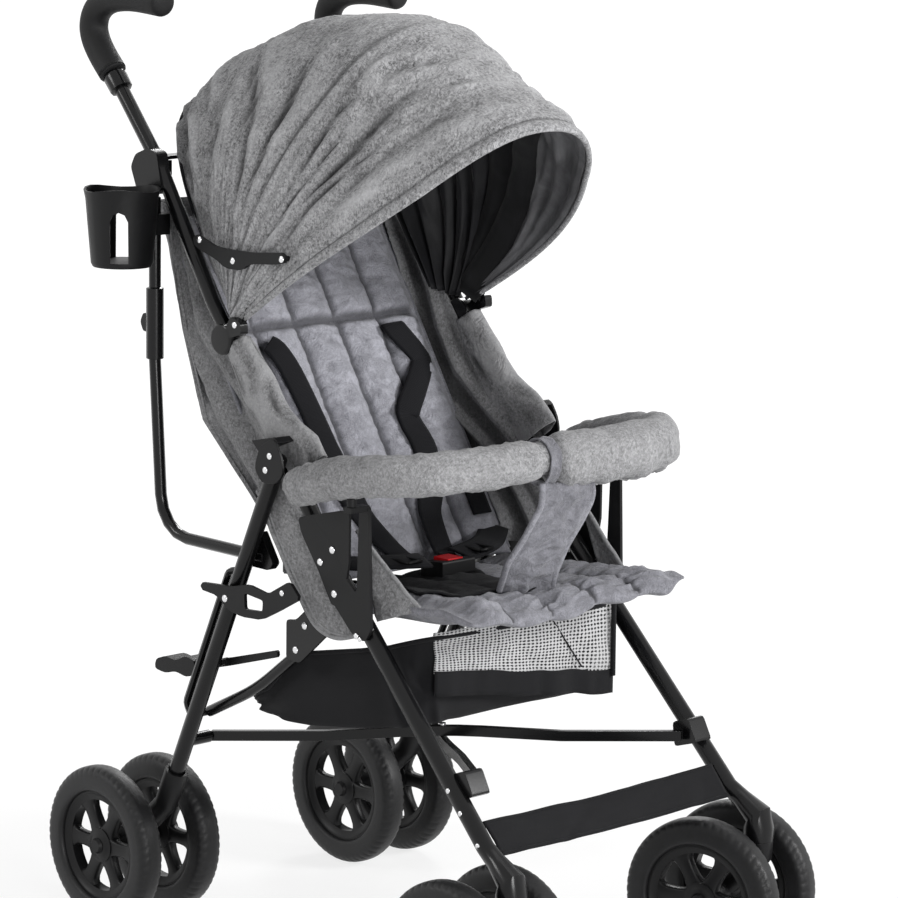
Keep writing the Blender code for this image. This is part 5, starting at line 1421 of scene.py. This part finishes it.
class STROLLER_OT_sides(bpy.types.Operator):
    """Cloth behind the back pad, on both sides between the frame tubes, and the piped panels below"""
    bl_idname = "stroller.sides"
    bl_label = "Sides and rear cloth"

    def execute(self, context):
        steps = [i / 109 for i in range(110)]
        grid = [rear_cloth_row(lerp(REAR_CLOTH_LOW, CLOTH_TOP, t)) for t in steps]
        rear = thick(grid_piece("rear_cloth", grid, LOOKS["side"]), 0.0012, 1.0)
        settle(rear, "back", "seat_shell", REAR_FOLDED_WIDTH)
        declare_sheet(rear)
        for side, sign in SIDES:
            rows = [side_cloth_row(lerp(SIDE_CLOTH_LOW, CLOTH_TOP, t), sign) for t in steps]
            grid = [line for line, shadows in rows]
            painted_shading = [shadows for line, shadows in rows]
            cloth = thick(grid_piece(f"side_cloth_{side}", grid, LOOKS["side"], painted_shading=painted_shading), 0.0012, 0.0)
            settle(cloth, f"{side}_frame")
            declare_sheet(cloth)
            edge = [line[-1] for line in grid[::2]]
            settle(tube(f"side_piping_{side}", edge, 0.0019, LOOKS["piping"], 8), f"{side}_frame")
            self.sleeve(side, sign)
            self.panel(side, sign)
            self.wing(side, sign)
        return {"FINISHED"}

    def sleeve(self, side, sign):
        """Loose cloth sleeve round the frame tube, from below the hood's hub to the side bracket."""
        rings, painted_shading = [], []
        forward = Vector((0, -0.786, 0.618))
        for i in range(70):
            s = i / 69
            z = lerp(0.651, 0.5230, s)
            flare = smooth_step((s - 0.50) / 0.45)
            middle = at(sign * 0.1660, -0.1963 + (z - 0.600) * 0.7836, z)
            middle += forward * (0.0062 + 0.0145 * flare)
            wide = lerp(0.0125, 0.0106, s) + 0.0035 * sin(pi * s) * (1 - s)
            deep = 0.0150 + 0.0070 * sin(pi * min(s * 1.1, 1.0)) + 0.0150 * flare
            row, shadows = [], []
            for k in range(40):
                a = 2 * pi * k / 40
                fold = wrinkle(a * 1.3 + s * 0.8, s * 2.2, 39.0 + sign)
                fold += 1.4 * (crease(a * 0.9 + s * 0.7, s * 3.0, 40.0) - 0.3)
                swell = 1 + 0.10 * fold
                out = Vector((sign, 0, 0)) * wide * cos(a) * min(swell, 1.06)
                row.append(middle + out + forward * deep * sin(a) * swell)
                # Painted shade in the sleeve's folds and painted highlight where it swells out
                shadows.append(max(-0.6, min(-0.9 * fold, 0.9)))
            rings.append(row)
            painted_shading.append(shadows)
        sleeve = grid_piece(f"tube_sleeve_{side}", rings, LOOKS["side"], wrap=True, painted_shading=painted_shading)
        piece = settle(thick(sleeve, 0.0011, 0.0), f"{side}_frame")
        declare_sheet(piece)

    def panel(self, side, sign):
        """Piped cloth panel below the frame tube."""
        low = smooth_path([(y, z, 0) for y, z in PANEL_LOW], 6)
        top = smooth_path([(y, z, 0) for y, z in PANEL_TOP], 6)
        grid = []
        for i, (a, b) in enumerate(zip(low, top)):
            s = i / (len(low) - 1)
            row = []
            for j in range(18):
                t = j / 17
                p = a.lerp(b, t)
                puff = 0.0016 * sin(pi * t) * sin(pi * s) + 0.0010 * wrinkle(s * 7, t * 3, 35.0 + sign)
                row.append(at(sign * (0.1760 + puff), p.x, p.y))
            grid.append(row)
        body = f"{side}_frame"
        piece = settle(thick(grid_piece(f"side_panel_{side}", grid, LOOKS["side"]), 0.0014, 0.0), body)
        declare_sheet(piece)
        settle(tube(f"panel_piping_{side}", [row[0] for row in grid], 0.0026, LOOKS["piping"], 8), body)
        inner = [row[2] + Vector((sign * 0.0006, 0, 0)) for row in grid[1:-1]]
        settle(tube(f"panel_cord_{side}", inner, 0.0013, LOOKS["piping"], 6), body)

    def wing(self, side, sign):
        """Corner of side cloth between the frame tube and the seat's front."""
        a, b, c = [Vector((sign * x, y, z)) for x, y, z in WING]

        def point(t, s):
            p = a.lerp(b, s).lerp(a.lerp(c, s), t)
            fold = 0.0035 * sin(pi * t) * s + 0.0022 * (crease(t * 3 + 1, s * 5, 37.0 + sign) - 0.3) * s
            return at(p.x + sign * fold, p.y, p.z)

        grid = surface(30, 20, point)
        piece = thick(grid_piece(f"seat_wing_{side}", grid, LOOKS["side"]), 0.0012, 0.0)
        settle(piece, "seat", keep=FOLDED_WIDTH)
        declare_sheet(piece)
        piping = tube(f"wing_piping_{side}", [row[0] for row in grid], 0.0024, LOOKS["piping"], 8)
        settle(piping, "seat", keep=FOLDED_WIDTH)


# Bumper

# Middle line of a bumper half from its post, and where the half ends on each side, as (x, y, z)
BAR_SPINE = [(0.2010, -0.2920, 0.5240), (0.2015, -0.3300, 0.5370), (0.2000, -0.3780, 0.5490),
             (0.1920, -0.4200, 0.5550), (0.1650, -0.4500, 0.5580), (0.1150, -0.4630, 0.5590),
             (0.0600, -0.4620, 0.5580)]
BAR_MIDDLE = {-1: (0.0225, -0.4575, 0.5573), 1: (-0.0015, -0.4550, 0.5570)}
BAR_RADIUS = 0.0205
END_SEAM_ROW = 14
# Grey core that shows between the two halves
CORE_ENDS = ((-0.0275, -0.4577, 0.5573), (0.0005, -0.4555, 0.5570))
CORE_RADIUS = 0.0172


class STROLLER_OT_bumper(bpy.types.Operator):
    """Cloth-covered foam bumper in two halves, the left one loose on its foam"""
    bl_idname = "stroller.bumper"
    bl_label = "Bumper"

    def execute(self, context):
        for side, sign in SIDES:
            path = smooth_path([at(sign * x, y, z) for x, y, z in BAR_SPINE + [BAR_MIDDLE[sign]]], 18)
            count = 48
            grid = []
            total = lengths(path)[-1]
            for p, t, length in zip(path, tangents(path), lengths(path)):
                side_dir = t.cross(Vector((0, 0, 1))).normalized()
                over = side_dir.cross(t)
                s = length / total
                end = smooth_step(min(s * 1.4, 1 - s) * 26)
                loose = smooth_step((s - 0.12) / 0.3) * (1.0 if sign > 0 else 0.16)
                row = []
                for k in range(count):
                    a = 2 * pi * k / count
                    low = max(0.0, -sin(a))
                    r = BAR_RADIUS * (0.66 + 0.34 * sqrt(end)) * (1.0 if sign > 0 else 0.97)
                    r += loose * (0.0032 + 0.0105 * low ** 1.5) * sqrt(end)
                    r += 0.0013 * wrinkle(length * 30, a * 1.1, 41.0 + sign)
                    r += 0.0016 * (crease(length * 42, a * 0.9, 42.0 + sign) - 0.3) * (1 + 1.6 * loose * low)
                    r -= 0.0018 * hump(a, 1.5 * pi, 0.07)
                    r -= 0.0016 * hump(s, 0.115, 0.008)
                    row.append(p + side_dir * r * cos(a) + over * r * sin(a))
                grid.append(row)
            piece = outward(grid_piece(f"bumper_cover_{side}", grid, LOOKS["bar"], wrap=True, caps=True))
            settle(piece, f"{side}_bumper", f"bumper_{side}")
            seam = [row[count * 3 // 4] + Vector((0, 0, -0.0012)) for row in grid[8:-6]]
            settle(tube(f"bumper_seam_{side}", seam, 0.0016, LOOKS["bar"], 6), f"{side}_bumper")
            ring = grid[END_SEAM_ROW]
            cord = tube(f"bumper_end_seam_{side}", ring + [ring[0]], 0.0015, LOOKS["piping"], 6, caps=False)
            settle(cord, f"{side}_bumper")
        core = tube("bumper_core_right", [at(*p) for p in CORE_ENDS], CORE_RADIUS, LOOKS["hood"], 28)
        settle(core, "right_bumper")
        return {"FINISHED"}


# Crotch cloth: its right and left edges from the bumper (0) down to the seat (1)
CROTCH_RIGHT = ((0.0, (-0.0180, -0.4640, 0.5330)), (0.12, (-0.0200, -0.4680, 0.5130)),
                (0.36, (-0.0430, -0.4660, 0.4800)), (0.62, (-0.0600, -0.4590, 0.4540)),
                (1.0, (-0.0500, -0.4360, 0.4160)))
CROTCH_LEFT = ((0.0, (0.0540, -0.4640, 0.5280)), (0.10, (0.0540, -0.4680, 0.5120)),
               (0.26, (0.0400, -0.4670, 0.4900)), (0.50, (0.0200, -0.4640, 0.4630)),
               (0.75, (0.0070, -0.4620, 0.4380)), (1.0, (0.0050, -0.4570, 0.4140)))
# The band round the bumper: its two ends, and the bumper's middle there as (y, z)
CROTCH_BAND_X = (-0.0180, -0.0030)
CROTCH_BAND_YZ = (-0.4565, 0.5572)


def crotch_point(u, v):
    """Point of the crotch cloth, from its right edge (0) to its left and from the bumper (0) to the seat."""
    p = Vector(along(CROTCH_RIGHT, v)).lerp(Vector(along(CROTCH_LEFT, v)), u)
    bulge = 0.0050 * sin(pi * u) * sin(pi * min(v * 1.1, 1.0))
    fold = 0.0034 * wrinkle(u * 3.4, v * 7, 52.0) + 0.0060 * (crease(u * 2.6 + v * 3.4, v * 7, 53.0) - 0.25)
    return at(p.x, p.y - bulge - fold * sin(pi * u) ** 0.5, p.z)


class STROLLER_OT_crotch(bpy.types.Operator):
    """Band round the bumper and cloth from it down to the seat"""
    bl_idname = "stroller.crotch"
    bl_label = "Crotch cloth"

    def execute(self, context):
        count = 56
        band = []
        for j in range(9):
            s = j / 8
            row = []
            for k in range(count):
                a = 2 * pi * k / count
                r = 0.0198 + 0.0008 * wrinkle(s * 4, a * 2, 51.0)
                r += 0.0012 * (hump(s, 0.0, 0.12) + hump(s, 1.0, 0.12))
                r += 0.0065 * max(0.0, -sin(a)) ** 2
                y, z = CROTCH_BAND_YZ
                row.append(at(lerp(*CROTCH_BAND_X, s), y + r * cos(a), z + r * sin(a)))
            band.append(row)
        piece = thick(grid_piece("crotch_band", band, LOOKS["crotch"], wrap=True), 0.0014, 0.0)
        settle(piece, "seat", keep=FOLDED_WIDTH)
        declare_sheet(piece)
        grid = surface(70, 44, crotch_point)
        cloth = thick(grid_piece("crotch_cloth", grid, LOOKS["crotch"]), 0.0024, 0.0)
        settle(cloth, "seat", "crotch_panel", FOLDED_WIDTH)
        declare_sheet(cloth)
        for name, j in (("crotch_piping_right", 0), ("crotch_piping_left", -1)):
            line = smooth_path([row[j] for row in grid[::5]], 4)
            settle(tube(name, line, 0.0034, LOOKS["pad_edge"], 10), "seat", keep=FOLDED_WIDTH)
        return {"FINISHED"}


# Harness: each shoulder strap as (height, distance from the middle, width)

STRAP_RIGHT = ((0.635, 0.0870, 0.022), (0.626, 0.0800, 0.027), (0.605, 0.0700, 0.028), (0.563, 0.0630, 0.028),
               (0.520, 0.0635, 0.034), (0.478, 0.0560, 0.032), (0.452, 0.0440, 0.026))
STRAP_LEFT = ((0.6400, 0.0950, 0.030), (0.632, 0.0975, 0.030), (0.610, 0.1145, 0.027), (0.598, 0.1170, 0.026),
              (0.576, 0.0940, 0.027), (0.554, 0.0690, 0.029), (0.543, 0.0680, 0.030), (0.515, 0.0735, 0.033),
              (0.478, 0.0590, 0.032), (0.452, 0.0440, 0.028))


# Where both straps end under the buckle, as (x, y, z), and their widths there
STRAP_ENDS = ((0.030, -0.268, 0.4250), (0.020, -0.288, 0.4230))
STRAP_END_WIDTHS = [0.024, 0.022]
HIP_LINE = ((0.0250, -0.300, 0.4260), (0.060, -0.292, 0.4280), (0.100, -0.268, 0.4275),
            (0.134, -0.240, 0.4330))
SIDE_STRAP_X = 0.118
SIDE_STRAP_Z = (0.486, 0.475, 0.460, 0.443)
# Corners of the black cloth under the buckle as (x, y), rear and front, and the buckle's underside
FLAP_REAR = (Vector((-0.090, -0.250)), Vector((0.066, -0.250)))
FLAP_FRONT = (Vector((-0.128, -0.412)), Vector((-0.010, -0.450)))
BUCKLE_UNDERSIDE = 0.4206
SLIDER_MIDDLE = (0.052, -0.296, 0.4310)
SLIDER_CORNERS = ((-0.009, -0.0165), (0.009, -0.0165), (0.009, 0.0165), (-0.009, 0.0165), (-0.009, -0.0165))


def flap_point(u, v, count):
    """Point of the cloth that lies on the seat pad and under the buckle."""
    p = FLAP_REAR[0].lerp(FLAP_REAR[1], u).lerp(FLAP_FRONT[0].lerp(FLAP_FRONT[1], u), v)
    p += Vector((0.004 * wrinkle(v * 5, u, 54.0), 0.005 * wrinkle(u * 5, v, 55.0)))
    top = seat_pad_pair((p.x + 0.15) / 0.30, (SEAT_Y[0] - p.y) / (SEAT_Y[0] - SEAT_Y[1]), count)[0].z
    z = top + 0.0030 + 0.0040 * crease(u * 3.4, v * 3.0, 57.0) * sin(pi * u) * sin(pi * v)
    if abs(p.x) < 0.036 and p.y > -0.335:
        z = min(z, BUCKLE_UNDERSIDE)
    return at(p.x, p.y, z)


class STROLLER_OT_harness(bpy.types.Operator):
    """Shoulder pads, hip straps and the webbing and cloth round the buckle"""
    bl_idname = "stroller.harness"
    bl_label = "Harness"

    def strap(self, name, path, outs, width, wall, body, rests, node=None, crown=0.0012, across=7):
        width = width if isinstance(width, list) else [width] * len(path)
        outs = outs if isinstance(outs, list) else [outs] * len(path)
        piece = ribbon(name, path, outs, width, wall, LOOKS["strap"], across, crown)
        settle(piece, body, node, PAD_FOLDED_WIDTH)
        declare_sheet(piece)

    def shoulder(self, side, sign, line):
        knots = []
        for n, (z, x, wide) in enumerate(line):
            lift = 0.0125 + 0.0020 * sin(n * 1.7)
            knots.append(at(sign * x, back_front_y(z), z) + BACK_LEAN * lift)
        knots += [at(sign * x, y, z) for x, y, z in STRAP_ENDS]
        path = smooth_path(knots, 6)
        n = len(path)
        outs = [BACK_LEAN.lerp(Vector((0, -0.3, 1)), smooth_step((i / n - 0.74) / 0.26)) for i in range(n)]
        wides = [wide for z, x, wide in line] + STRAP_END_WIDTHS
        width = [along([(k * 6, w) for k, w in enumerate(wides)], i) for i in range(n)]
        node = "harness" if side == "right" else None
        self.strap(f"shoulder_strap_{side}", path, outs, width, 0.0030, "back", "back_pad", node, 0.0018, 9)

    def execute(self, context):
        count = context.scene.stroller.channels
        for (side, sign), line in zip(SIDES, (STRAP_RIGHT, STRAP_LEFT)):
            self.shoulder(side, sign, line)
        for side, sign in SIDES:
            hip = smooth_path([at(sign * x, y, z) for x, y, z in HIP_LINE], 8)
            self.strap(f"hip_strap_{side}", hip, Vector((0, -0.25, 1)), 0.032, 0.0026, "seat", "seat_pad")
            rise = [at(sign * SIDE_STRAP_X, back_front_y(z), z) + BACK_LEAN * 0.0135 for z in SIDE_STRAP_Z]
            rise = smooth_path(rise, 6)
            self.strap(f"side_strap_{side}", rise, BACK_LEAN, 0.026, 0.0024, "back", "back_pad")
        grid = surface(34, 44, lambda u, v: flap_point(u, v, count))
        flap = thick(grid_piece("buckle_flap", grid, LOOKS["black_cloth"]), 0.0022, 0.0)
        settle(flap, "seat", keep=PAD_FOLDED_WIDTH)
        declare_sheet(flap)
        for side, sign in SIDES:
            x, y, z = SLIDER_MIDDLE
            corners = [at(sign * x + dx, y + dy, z) for dx, dy in SLIDER_CORNERS]
            slider = tube(f"strap_slider_{side}", corners, 0.0022, LOOKS["plastic"], 8)
            settle(slider, "seat", keep=PAD_FOLDED_WIDTH)
        return {"FINISHED"}


# Basket

# The basket's middle, and how far it reaches to the front and the rear
BASKET_Y = -0.247
BASKET_FRONT = 0.173
BASKET_REAR = 0.117
BASKET_FLOOR = 0.2500
# Rim and base, as (distance forward, height)
BASKET_RIM = ((0.130, 0.264), (0.150, 0.270), (0.190, 0.288), (0.225, 0.320), (0.256, 0.3425), (0.320, 0.351),
              (0.380, 0.366), (0.420, 0.380))
BASKET_BASE = ((0.130, 0.2515), (0.200, 0.2530), (0.260, 0.2580), (0.340, 0.2720), (0.420, 0.2880))
BASKET_ROWS = 22
BASKET_SEGMENTS = 160
# The net's opening in the front: its ends, and the height of its lower edge at each
NET_X = (-0.118, 0.137)
NET_LOW = (0.345, 0.3045)
NET_TOP = 0.384
BAND_TALL = 0.026
# Cords on the net: name, x at the top and at the foot, height of the foot, radius
NET_CORDS = (("net_seam", 0.038, 0.0900, 0.317, 0.0009), ("net_edge", 0.137, 0.138, 0.300, 0.0028))


def basket_point(level, a):
    """Point of the basket's wall, from its rim (0) to its base (1), at an angle round it."""
    half_x = lerp(0.1500, 0.134, level ** 1.85)
    c, s = cos(a), sin(a)
    square = 0.45 if s > 0 else 0.20
    x = half_x * signed_power(c, square)
    reach = BASKET_REAR if s > 0 else -BASKET_FRONT
    y = BASKET_Y + reach * lerp(1.0, 0.95, level) * abs(s) ** square
    sag = 0.004 * sin(pi * (x / half_x * 0.5 + 0.5)) * (1 - level)
    return Vector((x, y, lerp(along(BASKET_RIM, -y), along(BASKET_BASE, -y), level) - sag))


class STROLLER_OT_basket(bpy.types.Operator):
    """Sagging cloth basket with a net and a band in front"""
    bl_idname = "stroller.basket"
    bl_label = "Basket"

    def execute(self, context):
        rings = self.rings()
        rows, cols = len(rings), BASKET_SEGMENTS
        verts = [p for ring in rings for p in ring] + [at(0, BASKET_Y, BASKET_FLOOR)]
        steps = lengths(rings[0])
        uvs = [(steps[k], 0.006 * i) for i in range(rows) for k in range(cols)] + [(0.0, 0.006 * rows)]
        faces = [face for face in quads(rows, cols, wrap=True) if not self.in_net(face, verts)]
        last = (rows - 1) * cols
        faces += [(last + k, last + (k + 1) % cols, rows * cols) for k in range(cols)]
        piece = thick(mesh_piece("basket_cloth", verts, faces, LOOKS["black_cloth"], uvs), 0.0009, 1.0)
        settle(piece, "seat", "basket", FOLDED_WIDTH)
        declare_sheet(piece)
        hem = tube("basket_hem", rings[0] + [rings[0][0]], 0.0026, LOOKS["black_cloth"], 8)
        settle(hem, "seat", keep=FOLDED_WIDTH)
        self.front()
        for name, top_x, foot_x, low, radius in NET_CORDS:
            line = [at(lerp(foot_x, top_x, i / 12), -0.4215, lerp(low, 0.383, i / 12)) for i in range(13)]
            settle(tube(name, line, radius, LOOKS["black_cloth"], 6), "seat", keep=FOLDED_WIDTH)
        return {"FINISHED"}

    def rings(self):
        """Closed rows of points down the wall, and inwards over the floor."""
        shares = [k / BASKET_SEGMENTS for k in range(BASKET_SEGMENTS)]
        turns = [2 * pi * (k + 0.35 * sin(4 * pi * t)) / BASKET_SEGMENTS for k, t in enumerate(shares)]
        rings = []
        for i in range(BASKET_ROWS):
            level = i / (BASKET_ROWS - 1)
            ring = []
            for a in turns:
                p = basket_point(level, a)
                away = Vector((p.x, p.y - BASKET_Y, 0)).normalized()
                fold = 0.0040 * wrinkle(a * 3.0, level * 2.5, 61.0)
                fold += 0.0060 * (crease(a * 2.2, level * 1.6, 62.0) - 0.4)
                ring.append(at(*(p + away * fold * smooth_step(level * 3) - away * 0.001)))
            rings.append(ring)
        middle = Vector((0, BASKET_Y, BASKET_FLOOR))
        for k in range(1, 10):
            t = k / 10
            ring = []
            for a in turns:
                p = basket_point(1.0, a)
                slack = 0.0035 * wrinkle(p.x * 26, p.y * 26, 63.0) * sin(pi * min(t * 1.4, 1))
                slack -= 0.003 * sin(pi * t)
                ring.append(at(*(p.lerp(middle, t) + Vector((0, 0, slack)))))
            rings.append(ring)
        return rings

    def in_net(self, face, verts):
        """Whether a face of the wall lies where the net takes its place."""
        middle = (verts[face[0]] + verts[face[2]]) / 2 - MIDDLE
        low = lerp(*NET_LOW, (middle.x - NET_X[0]) / (NET_X[1] - NET_X[0]))
        wall = face[0] < (BASKET_ROWS - 1) * BASKET_SEGMENTS
        return wall and middle.y < -0.400 and NET_X[0] < middle.x < NET_X[1] and middle.z > low

    def front(self):
        """The net, and the band below it."""
        def net_point(u, v):
            i = v * 15
            y = -0.4185 - 0.003 * sin(pi * u) + 0.0022 * wrinkle(u * 7, i * 0.2, 64.0)
            y += 0.0024 * crease(u * 6 + i * 0.1, 0.4, 65.0)
            low = lerp(NET_LOW[0], NET_LOW[1], u) - 0.004
            return at(lerp(NET_X[0] - 0.004, NET_X[1] + 0.002, u), y, lerp(low, NET_TOP, v))

        def band_point(u, v):
            sway = 0.0022 * wrinkle(u * 7, 0.0, 64.0) + 0.0024 * crease(u * 6, 0.4, 65.0)
            low = lerp(*NET_LOW, u) - 0.0250 - 0.0025 * wrinkle(u * 5, 0.3, 66.0)
            x = lerp(NET_X[0] - 0.004, NET_X[1] + 0.003, u)
            return at(x, -0.4204 - 0.003 * sin(pi * u) + sway, lerp(low, low + BAND_TALL, v))

        for name, rows, point, look, wall, held in (
                ("basket_front_band", 6, band_point, "black_cloth", 0.0012, "hung"),
                ("basket_net", 16, net_point, "net", 0.0007, "stretched")):
            piece = thick(grid_piece(name, surface(rows, 60, point), LOOKS[look]), wall, 0.0)
            settle(piece, "seat", keep=FOLDED_WIDTH)
            declare_sheet(piece)


# Foot band: the front leg's knee and lower end, the band's height along the leg and its half length

KNEE = Vector((0.168, -0.335, 0.4235))
LEG_END = Vector((0.1775, -0.5553, 0.200))
FOOT_BAND_TALL = 0.040
FOOT_BAND_HALF = 0.1665


class STROLLER_OT_footrest(bpy.types.Operator):
    """Foot band between the front legs"""
    bl_idname = "stroller.footrest"
    bl_label = "Foot band"

    def execute(self, context):
        down = (LEG_END - KNEE).normalized()
        top = LEG_END.lerp(KNEE, 0.085)
        out = Vector((0, -0.71, 0.705)).normalized()

        def point(u, v):
            sag = 0.006 * sin(pi * u) + 0.0014 * wrinkle(u * 6, v * 2, 71.0)
            sag += 0.0016 * crease(u * 5 + v, v * 0.8, 72.0)
            p = Vector((lerp(-FOOT_BAND_HALF, FOOT_BAND_HALF, u), top.y, top.z))
            return at(*(p + Vector((0, down.y, down.z)) * (FOOT_BAND_TALL * v) + out * (0.0034 - sag)))

        grid = surface(18, 90, point)
        piece = thick(grid_piece("foot_band", grid, LOOKS["black_cloth"]), 0.0022, 0.0)
        settle(piece, "seat", "footrest", FOLDED_WIDTH)
        declare_sheet(piece)
        for name, row in (("foot_band_hem_top", 1), ("foot_band_hem_low", -2)):
            line = [p + out * 0.0008 for p in grid[row]]
            settle(tube(name, line, 0.0013, LOOKS["black_cloth"], 6), "seat", keep=FOLDED_WIDTH)
        return {"FINISHED"}


# Fasteners

# End of the body's name, x, y, z, and radius as a share of the usual
RIVETS = (
    ("frame", 0.1840, -0.331, 0.4643, 1.0), ("frame", 0.1840, -0.3127, 0.4489, 1.0),
    ("frame", 0.1840, -0.3346, 0.4193, 1.0), ("frame", 0.2012, -0.2525, 0.5520, 0.9),
    ("frame", 0.2012, -0.2460, 0.5365, 0.9), ("frame", 0.1818, -0.173, 0.677, 0.9),
    ("frame", 0.1724, -0.276, 0.374, 1.0), ("frame", 0.1724, -0.262, 0.346, 1.0),
    ("frame", 0.1845, -0.3690, 0.3815, 0.8), ("frame", 0.1845, -0.3745, 0.3790, 0.6),
    ("stay", 0.1888, -0.124, 0.762, 0.9), ("stay", 0.1888, -0.178, 0.745, 0.9),
    ("stay", 0.1888, -0.255, 0.754, 0.9), ("lock", 0.2010, -0.182, 0.391, 1.0),
    ("lock", 0.2010, -0.273, 0.412, 0.8), ("link", 0.1772, -0.030, 0.660, 0.6),
)
# Heights of the rivets along a front leg, each on the outside of its tube
LEG_RIVETS = (0.2490, 0.2300, 0.2030)
LEG_RADIUS = 0.0090


class STROLLER_OT_fasteners(bpy.types.Operator):
    """Rivets and screws of the frame"""
    bl_idname = "stroller.fasteners"
    bl_label = "Fasteners"

    def execute(self, context):
        radius = context.scene.stroller.rivet_radius
        for side, sign in SIDES:
            groups = {}
            for part, x, y, z, share in RIVETS:
                groups.setdefault((part, share), []).append((at(sign * x, y, z), (sign, 0, 0)))
            for z in LEG_RIVETS:
                p = LEG_END.lerp(KNEE, (z - LEG_END.z) / (KNEE.z - LEG_END.z))
                spot = at(sign * (p.x + LEG_RADIUS), p.y, z)
                groups.setdefault(("frame", 0.7), []).append((spot, (sign, 0, 0)))
            for n, ((part, share), points) in enumerate(groups.items()):
                rivets(f"{part}_rivets_{side}_{n + 1}", points, f"{side}_{part}", radius * share)
        return {"FINISHED"}


class STROLLER_PT_panel(bpy.types.Panel):
    bl_idname = "STROLLER_PT_panel"
    bl_label = "Stroller"
    bl_space_type = "VIEW_3D"
    bl_region_type = "UI"
    bl_category = "Stroller"

    def draw(self, context):
        settings = context.scene.stroller
        for key in settings.bl_rna.properties.keys():
            if key not in ("rna_type", "name"):
                self.layout.prop(settings, key)
        for operator in OPERATORS:
            self.layout.operator(operator.bl_idname)


OPERATORS = (
    STROLLER_OT_stage, STROLLER_OT_frame_finish, STROLLER_OT_wheels, STROLLER_OT_grips, STROLLER_OT_hood,
    STROLLER_OT_lining, STROLLER_OT_back_pad, STROLLER_OT_seat_pad, STROLLER_OT_sides, STROLLER_OT_bumper,
    STROLLER_OT_crotch, STROLLER_OT_harness, STROLLER_OT_basket, STROLLER_OT_footrest, STROLLER_OT_fasteners,
)


def register():
    for item in (StrollerSettings, *OPERATORS, STROLLER_PT_panel):
        bpy.utils.register_class(item)
    bpy.types.Scene.stroller = bpy.props.PointerProperty(type=StrollerSettings)


def unregister():
    del bpy.types.Scene.stroller
    for item in reversed((StrollerSettings, *OPERATORS, STROLLER_PT_panel)):
        bpy.utils.unregister_class(item)


def main():
    register()
    make_looks(bpy.context.scene.stroller)
    TREES["rivet"] = rivet_tree()
    TREES["stitch"] = stitch_tree()
    for operator in OPERATORS:
        group, name = operator.bl_idname.split(".")
        getattr(getattr(bpy.ops, group), name)()


if __name__ == "__main__":
    main()
